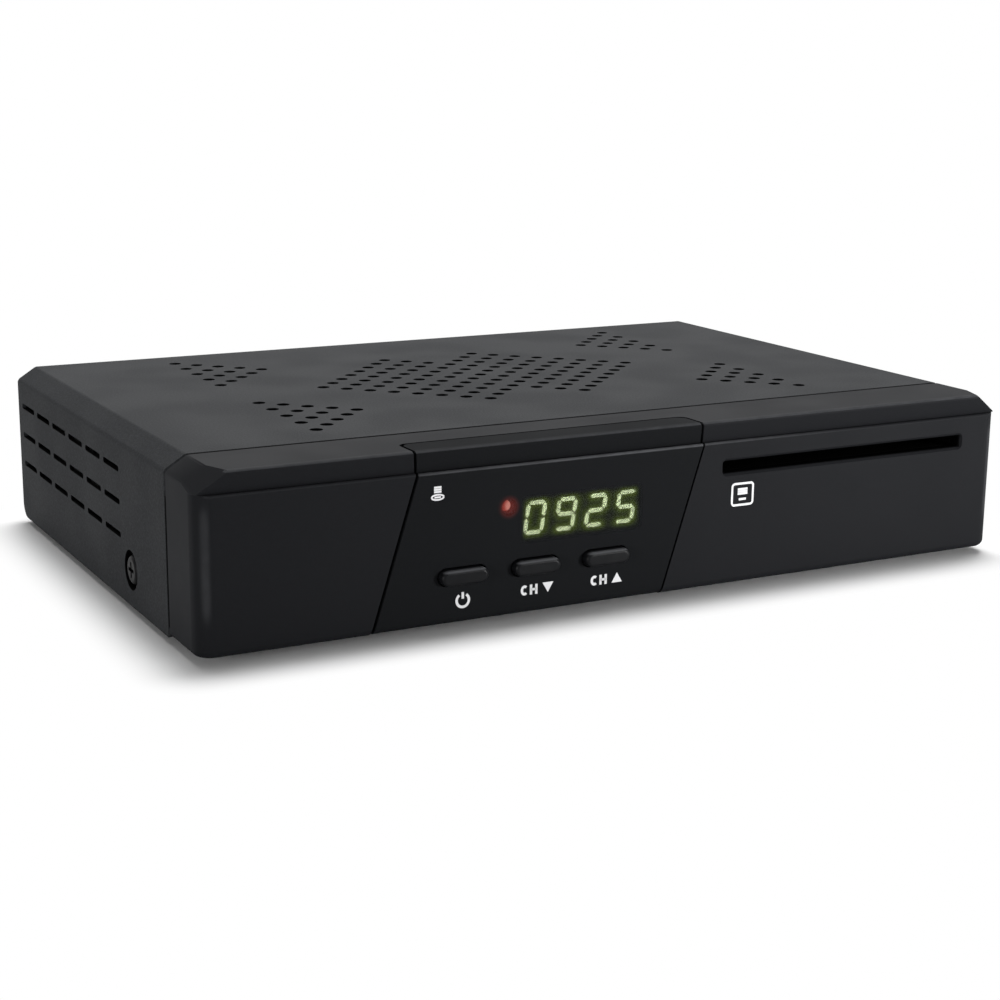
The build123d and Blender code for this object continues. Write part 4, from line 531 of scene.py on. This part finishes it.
def insert_plastic():
    """Smoked, half-gloss moulding. It is thin and clear enough over the digits and the status
    lamp for them to shine through, and it glows a little round the lamp."""
    material, tree, shader = finish_of("insert_plastic", INSERT_BLACK, 0.50, specular=0.004)
    # painted highlight along the insert's ledge, rising towards the right
    fine = moulded_black(tree, shader, INSERT_BLACK,
                         ranged(tree, axes(tree)["X"], *INSERT_LEDGE_RISE))
    vary_roughness(tree, shader, grain(tree, BROAD_GRAIN, detail=1.0), 0.47, 0.53)
    raise_surface(tree, shader, fine, 0.004 * MM)
    away = lamp_distance(tree)
    window = largest(tree, window_mask(tree, "display_module", WINDOW_EDGE),
                     ranged(tree, away, *LAMP_WINDOW, 1.0, 0.0))
    tree.links.new(ranged(tree, window, 0.0, 1.0, 1.0, WINDOW_ALPHA), shader.inputs["Alpha"])
    shine(tree, shader, LAMP_GLOW, ranged(tree, away, *LAMP_GLOW_REACH, LAMP_GLOW_LEVEL, 0.0))
    return material


# ================================================================ other finishes
DIGIT_GREEN = (0.86, 1.0, 0.60)
DIGIT_SHINE = (8.0, 9.4)
HALO_GREEN = (0.42, 0.60, 0.08)
HALO_SHINE = 4.6
LAMP_MIDDLE = (1.0, 0.42, 0.34)
LAMP_RIM = (0.75, 0.10, 0.07)
LAMP_TURN = (0.5 * MM, 1.2 * MM)        # the colour runs from the middle's to the rim's
LAMP_FADE = (0.5 * MM, 1.4 * MM)        # and the light from the first strength to the second
LAMP_SHINE = (6.0, 2.4)
LAMP_SHIFT = 0.45 * MM      # the lamp's bright spot is this far to the right of its middle
BOARD = (0.02, 0.11, 0.05)
BOARD_TRACK = (0.05, 0.20, 0.08)


def plain(name, colour, roughness, size=0.4 * MM, metallic=0.0, specular=0.5, spread=0.12):
    """A finish with a fine grain: its colour and roughness vary a little and its surface is
    slightly uneven."""
    material, tree, shader = finish_of(name, colour, roughness, metallic, specular)
    fine = grain(tree, size)
    vary_colour(tree, shader, fine, tuple(c * (1 - spread) for c in colour),
                tuple(min(1.0, c * (1 + spread)) for c in colour))
    vary_roughness(tree, shader, grain(tree, 12 * size), 0.88 * roughness,
                   min(1.0, 1.12 * roughness))
    raise_surface(tree, shader, fine, 0.04 * size)
    return material


def button_plastic():
    """Black moulding with a finer gloss, with a painted highlight along the buttons' upper
    edges.
    """
    material = plain("button_plastic", BUTTON_BLACK, 0.34, 0.2 * MM, specular=0.07)
    tree = material.node_tree
    low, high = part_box("power_button")
    cap_top = high.z - BUTTON_FLANGE
    place = axes(tree)
    edge = product(
        tree,
        ranged(tree, place["Z"], cap_top - BUTTON_EDGE[0], cap_top - BUTTON_EDGE[1],
               0.0, BUTTON_HIGHLIGHT),
        within(tree, place["Y"], BEYOND, low.y + BUTTON_FRONT, BUTTON_SOFT))
    # painted highlight along the caps' upper front edges
    blend_colour(tree, tree.nodes["Principled BSDF"], edge, PAINTED_HIGHLIGHT_GREY)
    return material


def lit_digits():
    """Lit segments: a pale yellow-green that is a little uneven from place to place."""
    material, tree, shader = finish_of("lit_digits", (0.62, 0.74, 0.40), 0.4)
    uneven = grain(tree, 1.2 * MM, detail=1.0)
    shine(tree, shader, DIGIT_GREEN, spread_out(tree, uneven, *DIGIT_SHINE))
    return material


def halo_green():
    """The soft light round the digits: clear where the film's own halo value is 0."""
    material, tree, shader = finish_of("halo_green", (0.01, 0.012, 0.008), 0.5, specular=0.0)
    value = tree.nodes.new("ShaderNodeAttribute")
    value.attribute_name = HALO_NAME
    uneven = ranged(tree, grain(tree, 0.8 * MM), 0.2, 0.8, 0.6, 0.9)
    tree.links.new(product(tree, value.outputs["Fac"], uneven), shader.inputs["Alpha"])
    shader.inputs["Emission Color"].default_value = (*HALO_GREEN, 1.0)
    shader.inputs["Emission Strength"].default_value = HALO_SHINE
    return material


def lamp_red():
    """The lit status lamp: pale at its middle and deep red towards its rim."""
    material, tree, shader = finish_of("lamp_red", (0.50, 0.05, 0.04), 0.3)
    away = lamp_distance(tree, LAMP_SHIFT)
    turn = ranged(tree, away, *LAMP_TURN, 0.0, 1.0)
    shine(tree, shader, mix_colours(tree, turn, LAMP_MIDDLE, LAMP_RIM),
          ranged(tree, away, *LAMP_FADE, *LAMP_SHINE))
    return material


def board_green():
    """Circuit board: green solder resist over a net of copper tracks."""
    material, tree, shader = finish_of("board_green", BOARD, 0.35)
    tracks = tree.nodes.new("ShaderNodeTexVoronoi")
    tracks.distance = "CHEBYCHEV"
    tracks.feature = "DISTANCE_TO_EDGE"
    tracks.inputs["Scale"].default_value = 1 / (5 * MM)
    tree.links.new(place_on(tree), tracks.inputs["Vector"])
    copper = ranged(tree, tracks.outputs["Distance"], 0.02, 0.06, 1.0, 0.0)
    vary_colour(tree, shader, copper, BOARD, BOARD_TRACK)
    raise_surface(tree, shader, copper, 0.03 * MM)
    return material


def brushed(name, colour, roughness):
    """Sheet metal with fine drawn lines along X."""
    material, tree, shader = finish_of(name, colour, roughness, metallic=1.0)
    lines = grain(tree, 0.2 * MM, detail=3.0, stretch=(0.04, 1, 1))
    vary_colour(tree, shader, lines, tuple(0.85 * c for c in colour), colour)
    vary_roughness(tree, shader, lines, 0.8 * roughness, 1.2 * roughness)
    raise_surface(tree, shader, lines, 0.004 * MM)
    return material


FINISHES = {
    "casing_paint": casing_paint(),
    "panel_plastic": panel_plastic(),
    "insert_plastic": insert_plastic(),
    "button_plastic": button_plastic(),
    "lit_green": lit_digits(),
    "lamp_red": lamp_red(),
    "board_green": board_green(),
    "bare_steel": brushed("bare_steel", (0.60, 0.60, 0.60), 0.32),
    "aluminium": brushed("aluminium", (0.66, 0.67, 0.69), 0.36),
}
for name, colour, roughness, size, more in (    # size is the grain's, in millimetres
        ("plunger_plastic", (0.55, 0.52, 0.45), 0.50, 0.4, {}),
        ("foot_rubber", (0.018, 0.018, 0.018), 0.75, 0.5, {}),
        ("black_plastic", (0.018, 0.018, 0.019), 0.50, 0.3, {}),
        ("dark_segment", (0.020, 0.022, 0.016), 0.50, 0.2, {}),
        ("cable_grey", (0.30, 0.30, 0.31), 0.50, 0.6, {}),
        ("screw_steel", (0.0045, 0.0045, 0.005), 0.40, 0.2, {"specular": 0.06}),
        ("nickel", (0.70, 0.68, 0.63), 0.22, 0.3, {"metallic": 1.0, "spread": 0.05}),
        ("contact_metal", (0.80, 0.62, 0.30), 0.25, 0.3, {"metallic": 1.0}),
        ("white_plastic", (0.80, 0.80, 0.77), 0.45, 0.3, {"spread": 0.03}),
        ("orange_plastic", (0.72, 0.16, 0.03), 0.45, 0.3, {"spread": 0.05}),
        ("pad_grey", (0.30, 0.32, 0.36), 0.70, 0.4, {}),
        ("ferrite", (0.045, 0.045, 0.048), 0.55, 0.3, {})):
    FINISHES[name] = plain(name, colour, roughness, size * MM, **more)

WHITE_PRINT = plain("white_print", (0.62, 0.62, 0.63), 0.55, 0.15 * MM, spread=0.05)
SHADE_METAL = plain("shade_metal", (0.012, 0.012, 0.012), 0.6, 0.3 * MM, specular=0.05)
SHADE_BLACK = plain("shade_black", (0.0015, 0.0015, 0.0015), 0.7, 0.3 * MM, specular=0.02)
SHADE_FINISH = {              # painted shade: what is only seen through slots is made near black
    "tuner_frame": SHADE_METAL,
    "tuner_lid": SHADE_METAL,
    "card_reader_frame": SHADE_BLACK,
    "card_reader_cover": SHADE_BLACK,
    "card_contacts": SHADE_BLACK,
}


# ================================================================ carried-over pieces
SMOOTHED = [
    "top_cover", "base_chassis", "front_panel", "display_insert", "power_button",
    "channel_down_button", "channel_up_button", "rubber_feet", "cover_side_screws",
    "cover_rear_screws", "f_connector_washers", "f_connector_nuts", "digital_audio_sleeve",
    "digital_audio_insulator", "dc_jack_body", "dc_jack_pin", "status_led",
]


def smooth_copy(node):
    """A node's own mesh, welded and shaded smooth, in place of its loose triangles."""
    mesh = frame["nodes"][node].data.copy()
    mesh.name = node + "_surface"
    weld(mesh, turn_out=False)
    calm_shading(mesh)
    slot = node_slot[node]
    piece = add_object(node + "_surface", mesh, node_body[node], FINISHES[slot])
    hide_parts(node)


def dress(node):
    """Gives a node that stays as it is its finish, or painted shade if it is only seen through
    slots.
    """
    mesh = frame["nodes"][node].data
    mesh.materials.clear()
    mesh.materials.append(SHADE_FINISH.get(node, FINISHES[node_slot[node]]))


# ================================================================ aerial studs
def turned(profile):
    """A profile of (radius, y) pairs turned about the Y axis: point (i, j) is at the profile's
    y, and at its radius from the axis in the direction of angle j."""
    profile = np.asarray(profile, float)
    angle = np.linspace(0, 2 * np.pi, ROUND_POINTS, endpoint=False)
    radius = profile[:, :1]
    y = np.broadcast_to(profile[:, 1:], (len(profile), ROUND_POINTS))
    return np.stack([radius * np.cos(angle), y, radius * np.sin(angle)], -1)


def threaded(start, end, radius):
    """A thread from start to end along Y: the radius is cut by a triangle wave along y whose
    phase turns once for each turn, THREAD_DEPTH deep, and which fades out over one pitch at
    both ends."""
    rings = int((end - start) / THREAD_PITCH * THREAD_FINE)
    y = np.linspace(start, end, rings)[:, None]
    angle = np.linspace(0, 2 * np.pi, ROUND_POINTS, endpoint=False)[None, :]
    phase = y / THREAD_PITCH - angle / (2 * np.pi)
    wave = np.abs(2 * (phase - np.floor(phase)) - 1)
    fade = np.clip(np.minimum(y - start, end - y) / THREAD_PITCH, 0, 1)
    r = radius - THREAD_DEPTH * wave * fade
    return np.stack([r * np.cos(angle), np.broadcast_to(y, r.shape), r * np.sin(angle)], -1)


def threaded_barrel(node):
    """A stud's barrel: a plain core inside its nut, the threaded outside beyond it, the
    chamfered end and the plain bore, as one closed surface carried round the stud's axis."""
    low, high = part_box(node)
    nut_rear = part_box("f_connector_nuts")[1].y
    radius = (high.x - low.x) / 2
    core = radius - THREAD_DEPTH
    centre = np.array([(low.x + high.x) / 2, 0, (low.z + high.z) / 2])
    front = turned([(0, low.y), (core, low.y), (core, nut_rear), (radius, nut_rear)])
    outside = threaded(nut_rear, high.y - STUD_CHAMFER, radius)
    rear = turned([
        (radius - STUD_CHAMFER, high.y),
        (STUD_BORE, high.y),
        (STUD_BORE, high.y - STUD_BORE_DEPTH),
        (0, high.y - STUD_BORE_DEPTH),
    ])
    name = node + "_thread"
    mesh = grid_mesh(name, np.concatenate([front, outside[1:], rear]) + centre)
    weld(mesh)
    mesh.shade_smooth()
    mesh.set_sharp_from_angle(angle=SMOOTH_ANGLE)
    piece = add_object(name, mesh, "receiver", FINISHES["nickel"])
    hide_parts(node)


# ================================================================ light round the digits
def segment_triangles():
    """The (x, z) corners of the lit segments' triangles that face along Y."""
    source = frame["nodes"]["lit_segments"].data
    source.calc_loop_triangles()
    triangles = read_rows(source.loop_triangles, "vertices", np.int32)
    corners = read_rows(source.vertices, "co")[triangles]
    facing = np.ptp(corners[..., 1], axis=1) < FLAT_STEP
    corners = corners[facing][..., [0, 2]]
    cross = np.cross(corners[:, 1] - corners[:, 0], corners[:, 2] - corners[:, 0])
    return corners[np.abs(cross) > FLAT_STEP ** 2]


def distance_to_triangles(x, z, corners):
    """How far each point of a plane lies outside a set of triangles, 0 inside them: the least
    distance to an edge, where a point's foot on an edge is its projection held between the
    edge's ends, and a point is inside a triangle when it is on one side of all three edges."""
    p = np.stack([x.ravel(), z.ravel()], -1)[:, None, None, :]
    a = corners[None]
    edge = np.roll(corners, -1, 1)[None] - a
    from_a = p - a
    along = np.clip((from_a * edge).sum(-1) / (edge ** 2).sum(-1), 0, 1)
    apart = np.linalg.norm(from_a - along[..., None] * edge, axis=-1)
    side = edge[..., 0] * from_a[..., 1] - edge[..., 1] * from_a[..., 0]
    inside = (side >= 0).all(-1) | (side <= 0).all(-1)
    least = np.where(inside, 0, apart.min(-1)).min(-1)
    return least.reshape(x.shape)


def end_point(section, row):
    """The middle of one row of points, as a row of its own that closes a shape's end."""
    return np.repeat(section[row].mean(0)[None, None], section.shape[1], 1)


def halo_film():
    """A clear film over the display whose halo value falls off as exp(-distance / HALO_REACH)
    from the lit segments, and to 0 at the film's border, on the segments themselves and on the
    film's back. Its section is a closed strip, front and back, carried along X."""
    low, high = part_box("lit_segments")
    x, z = np.meshgrid(np.arange(low.x - HALO_MARGIN, high.x + HALO_MARGIN, HALO_STEP),
                       np.arange(low.z - HALO_MARGIN, high.z + HALO_MARGIN, HALO_STEP),
                       indexing="ij")
    away = distance_to_triangles(x, z, segment_triangles())
    border = np.minimum.reduce([x - x.min(), x.max() - x, z - z.min(), z.max() - z])
    halo = HALO_LEVEL * np.exp(-away / HALO_REACH) * np.clip(border / HALO_MARGIN, 0, 1)
    halo[away < FLAT_STEP] = 0
    front = np.stack([x, np.full(x.shape, low.y - FILM_GAP), z], -1)
    back = front + (0, FILM_THICK, 0)
    section = np.concatenate([front, back[:, ::-1]], 1)
    mesh = grid_mesh("digit_halo", np.concatenate([end_point(section, 0), section,
                                                   end_point(section, -1)]))
    value = mesh.attributes.new(HALO_NAME, "FLOAT", "POINT")
    level = np.pad(np.concatenate([halo, np.zeros_like(halo)], 1), ((1, 1), (0, 0)))
    value.data.foreach_set("value", level.ravel())
    weld(mesh)
    add_object("digit_halo", mesh, "receiver", halo_green())


# ================================================================ printed marks
def ink(left, right):
    """Sections of ink between two edges of (x, z) points: each is a low rectangle, from the
    face at y = 0 to PRINT_THICK in front of it."""
    corners = [(left, 0.0), (left, -PRINT_THICK), (right, -PRINT_THICK), (right, 0.0)]
    return np.stack([np.insert(edge, 1, y, axis=1) for edge, y in corners], 1)


def line(path, width=PRINT_LINE):
    """A flat stroke of ink along a path of (x, z) points, squared off at both ends."""
    path = np.asarray(path, float)
    along = np.gradient(path, axis=0)
    along /= np.linalg.norm(along, axis=1, keepdims=True)
    side = np.stack([-along[:, 1], along[:, 0]], -1) * width / 2
    section = ink(path + side, path - side)
    return np.concatenate([end_point(section, 0), section, end_point(section, -1)])


def straight(x0, z0, x1, z1):
    """A path straight from one point to another."""
    return [(x0, z0), ((x0 + x1) / 2, (z0 + z1) / 2), (x1, z1)]


def arc(x, z, radius_x, radius_z, start, end, points=28):
    """A path round an ellipse from one angle to another, in degrees."""
    angle = np.radians(np.linspace(start, end, points))
    return np.stack([x + radius_x * np.cos(angle), z + radius_z * np.sin(angle)], -1)


def bars(x, z, half, heights, width):
    """Level strokes of ink about x, at heights above z."""
    return [line(straight(x - half, z + up, x + half, z + up), width) for up in heights]


def wedge(x, z, width, height):
    """A filled triangle of ink: rows of a grid from its base to its tip, each as wide as its
    distance to the tip. A negative height points down."""
    t = np.linspace(0, 1, 6)
    rows_z = z - height / 2 + height * t
    half = width / 2 * (1 - t)
    section = ink(np.stack([x - half, rows_z], -1), np.stack([x + half, rows_z], -1))
    return np.concatenate([end_point(section, 0), section])


def printed(name, shapes, face):
    """One piece of ink from several shapes, laid on the face at y = face."""
    meshes = []
    for shape in shapes:
        mesh = grid_mesh(name, shape + (0, face, 0))
        weld(mesh)
        meshes.append(mesh)
    add_object(name, join(name, meshes), "receiver", WHITE_PRINT)


def legend_place(node):
    """The place below a button's middle where its legend goes."""
    low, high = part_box(node)
    middle = (low + high) / 2
    return middle.x, middle.z - LEGEND_DROP


def power_mark(x, z):
    """The usual power symbol: an open ring with a bar in its gap."""
    return [line(arc(x, z, POWER_RADIUS, POWER_RADIUS, 125, 415)),
            line(straight(x, z + 0.25 * POWER_RADIUS, x, z + 1.25 * POWER_RADIUS))]


def letter_c(x, z):
    """A letter C: an open ellipse."""
    inset = PRINT_LINE / 2
    return [line(arc(x, z, LETTER_WIDE / 2 - inset, LETTER_TALL / 2 - inset, 50, 310))]


def letter_h(x, z):
    """A letter H: two posts and a bar."""
    half = (LETTER_WIDE - PRINT_LINE) / 2
    tall = LETTER_TALL / 2
    posts = [line(straight(post, z - tall, post, z + tall)) for post in (x - half, x + half)]
    return posts + bars(x, z, half, (0,), 0.9 * PRINT_LINE)


def channel_mark(x, z, up):
    """The legend of a channel button: CH and a triangle that points up or down."""
    tip = LETTER_TALL if up else -LETTER_TALL
    triangle = wedge(x + TRIANGLE_AT[0], z + TRIANGLE_AT[1], TRIANGLE_WIDE, tip)
    return letter_c(x + LETTER_C_AT, z) + letter_h(x + LETTER_H_AT, z) + [triangle]


def eye_mark(x, z):
    """The mark over the remote control's receiver: a small block above a flat oval."""
    middle = x + 0.8 * MM
    low = z - 0.35 * MM
    stroke = 0.3 * MM
    block = bars(middle, z, 0.7 * MM, (0.6 * MM, 1.0 * MM, 1.4 * MM), 0.34 * MM)
    oval = line(arc(middle, low, 1.15 * MM, 0.45 * MM, 0, 360), stroke)
    return block + [oval] + bars(middle, low, 0.6 * MM, (0,), stroke)


def card_mark(x, z):
    """A sign for the card slot: the outline of a card with its chip and a line of contacts.
    The outline is a circle whose quarters are moved apart to the card's corners."""
    half = 2.35 * MM
    tall = 2.05 * MM
    corner = 0.6 * MM
    stroke = 0.42 * MM
    hair = 0.001            # turns each quarter's first point to that quarter's side
    angle = np.radians(np.arange(0, 361, 15))
    outline = np.stack([
        x + np.sign(np.cos(angle + hair)) * (half - corner) + corner * np.cos(angle),
        z + np.sign(np.sin(angle + hair)) * (tall - corner) + corner * np.sin(angle),
    ], -1)
    chip = bars(x, z, 1.1 * MM, (0.15 * MM, 0.55 * MM, 0.95 * MM), 0.46 * MM)
    contacts = bars(x, z, 0.8 * MM, (-0.95 * MM,), stroke)
    return [line(outline, stroke)] + chip + contacts


# ================================================================ studio
def shown_white(tree):
    """1 for what the camera sees straight on, in gloss or through glass, and 0 for light that
    falls on things."""
    path = tree.nodes.new("ShaderNodeLightPath").outputs
    return largest(tree, path["Is Camera Ray"], path["Is Glossy Ray"],
                   path["Is Transmission Ray"])


def away_from_outline(tree):
    """Distance on the floor from the receiver's outline: the length of what is left of the
    place, taken as positive, after half the outline's size is taken off."""
    middle = ((panel_low.x + casing_side) / 2, (panel_low.y + casing_rear) / 2, 0)
    half = ((casing_side - panel_low.x) / 2, (casing_rear - panel_low.y) / 2, 0)
    place = vector_step(tree, "SUBTRACT", place_on(tree), middle)
    place = vector_step(tree, "SUBTRACT", vector_step(tree, "ABSOLUTE", place), half)
    return vector_step(tree, "LENGTH", vector_step(tree, "MAXIMUM", place, (0, 0, 0)))


def studio_floor():
    """A pale floor that shows white away from the receiver and keeps its shadow."""
    mesh = bpy.data.meshes.new("floor")
    corners = [(x * FLOOR_HALF, y * FLOOR_HALF, 0) for x, y in
               ((-1, -1), (1, -1), (1, 1), (-1, 1))]
    mesh.from_pydata(corners, [], [(0, 1, 2, 3)])
    floor = bpy.data.objects.new("floor", mesh)
    bpy.context.scene.collection.objects.link(floor)
    material, tree, shader = finish_of("floor", FLOOR_PALE, 0.9, specular=0.05)
    glow = ranged(tree, away_from_outline(tree), 0.0, SHADOW_REACH, 0.0, 1.0)
    white = tree.nodes.new("ShaderNodeEmission")
    blend = tree.nodes.new("ShaderNodeMixShader")
    tree.links.new(product(tree, shown_white(tree), glow), blend.inputs["Fac"])
    tree.links.new(shader.outputs["BSDF"], blend.inputs[1])
    tree.links.new(white.outputs["Emission"], blend.inputs[2])
    tree.links.new(blend.outputs["Shader"], tree.nodes["Material Output"].inputs["Surface"])
    mesh.materials.append(material)


def studio_world():
    """White to the camera and in reflections, and a soft grey fill for everything else."""
    world = bpy.data.worlds.new("studio")
    bpy.context.scene.world = world
    world.use_nodes = True
    tree = world.node_tree
    background = tree.nodes["Background"]
    background.inputs["Color"].default_value = (1, 1, 1, 1)
    level = tree.nodes.new("ShaderNodeMapRange")
    level.inputs["To Min"].default_value = FILL_LEVEL
    level.inputs["To Max"].default_value = 1.0
    tree.links.new(shown_white(tree), level.inputs["Value"])
    tree.links.new(level.outputs["Result"], background.inputs["Strength"])


def hang_lamp(name, kind, place, target, power):
    """A lamp at place, turned towards target."""
    lamp = bpy.data.lights.new(name, kind)
    lamp.energy = power
    holder = bpy.data.objects.new(name, lamp)
    bpy.context.scene.collection.objects.link(holder)
    holder.location = place
    holder.rotation_euler = (Vector(target) - Vector(place)).to_track_quat("-Z", "Y").to_euler()
    return lamp


def studio_lamps():
    """Two square soft lamps, and a round beam that fades evenly from its middle to its rim."""
    for lamp_name, (place, side, power) in SOFT_LAMPS.items():
        lamp = hang_lamp(lamp_name, "AREA", place, (0, 0, 0), power)
        lamp.shape = "RECTANGLE"
        lamp.size = side
        lamp.size_y = side
    beam = hang_lamp("beam", "SPOT", BEAM_PLACE, BEAM_TARGET, BEAM_POWER)
    beam.shadow_soft_size = BEAM_RADIUS
    beam.spot_size = BEAM_ANGLE
    beam.spot_blend = 1.0


def studio_camera():
    """The camera: turned by its azimuth and elevation, then rolled about its own axis."""
    a, e, r = CAMERA_AZIMUTH, CAMERA_ELEVATION, CAMERA_ROLL
    back = Vector((math.sin(a) * math.cos(e), -math.cos(a) * math.cos(e), math.sin(e)))
    right = (-back).cross(Vector((0, 0, 1))).normalized()
    up = right.cross(-back)
    right_rolled = right * math.cos(r) + up * math.sin(r)
    up_rolled = up * math.cos(r) - right * math.sin(r)
    turn = Matrix((right_rolled, up_rolled, back)).transposed()
    data = bpy.data.cameras.new("camera")
    data.sensor_width = CAMERA_SENSOR
    data.lens = CAMERA_LENS
    data.clip_start = CAMERA_NEAR
    camera = bpy.data.objects.new("camera", data)
    bpy.context.scene.collection.objects.link(camera)
    camera.matrix_world = Matrix.Translation(CAMERA_PLACE) @ turn.to_4x4()
    bpy.context.scene.camera = camera


# ================================================================ build
studio_camera()
studio_world()
studio_floor()
studio_lamps()

for cad_node in frame["nodes"]:
    if cad_node in SMOOTHED:
        smooth_copy(cad_node)
    elif cad_node not in STUDS:
        dress(cad_node)

for stud in STUDS:
    threaded_barrel(stud)

power_x, power_z = legend_place("power_button")
down_x, down_z = legend_place("channel_down_button")
up_x, up_z = legend_place("channel_up_button")
printed("power_mark", power_mark(power_x + POWER_SHIFT, power_z), insert_face)
printed("channel_down_mark",
        channel_mark(down_x + DOWN_SHIFT, down_z + CHANNEL_RISE, up=False), insert_face)
printed("channel_up_mark",
        channel_mark(up_x + UP_SHIFT, up_z + CHANNEL_RISE, up=True), insert_face)
printed("eye_mark", eye_mark(*EYE_MARK_AT), insert_face)
halo_film()
printed("card_mark", card_mark(*CARD_MARK_AT), panel_face)

bpy.context.scene.view_settings.view_transform = "Standard"
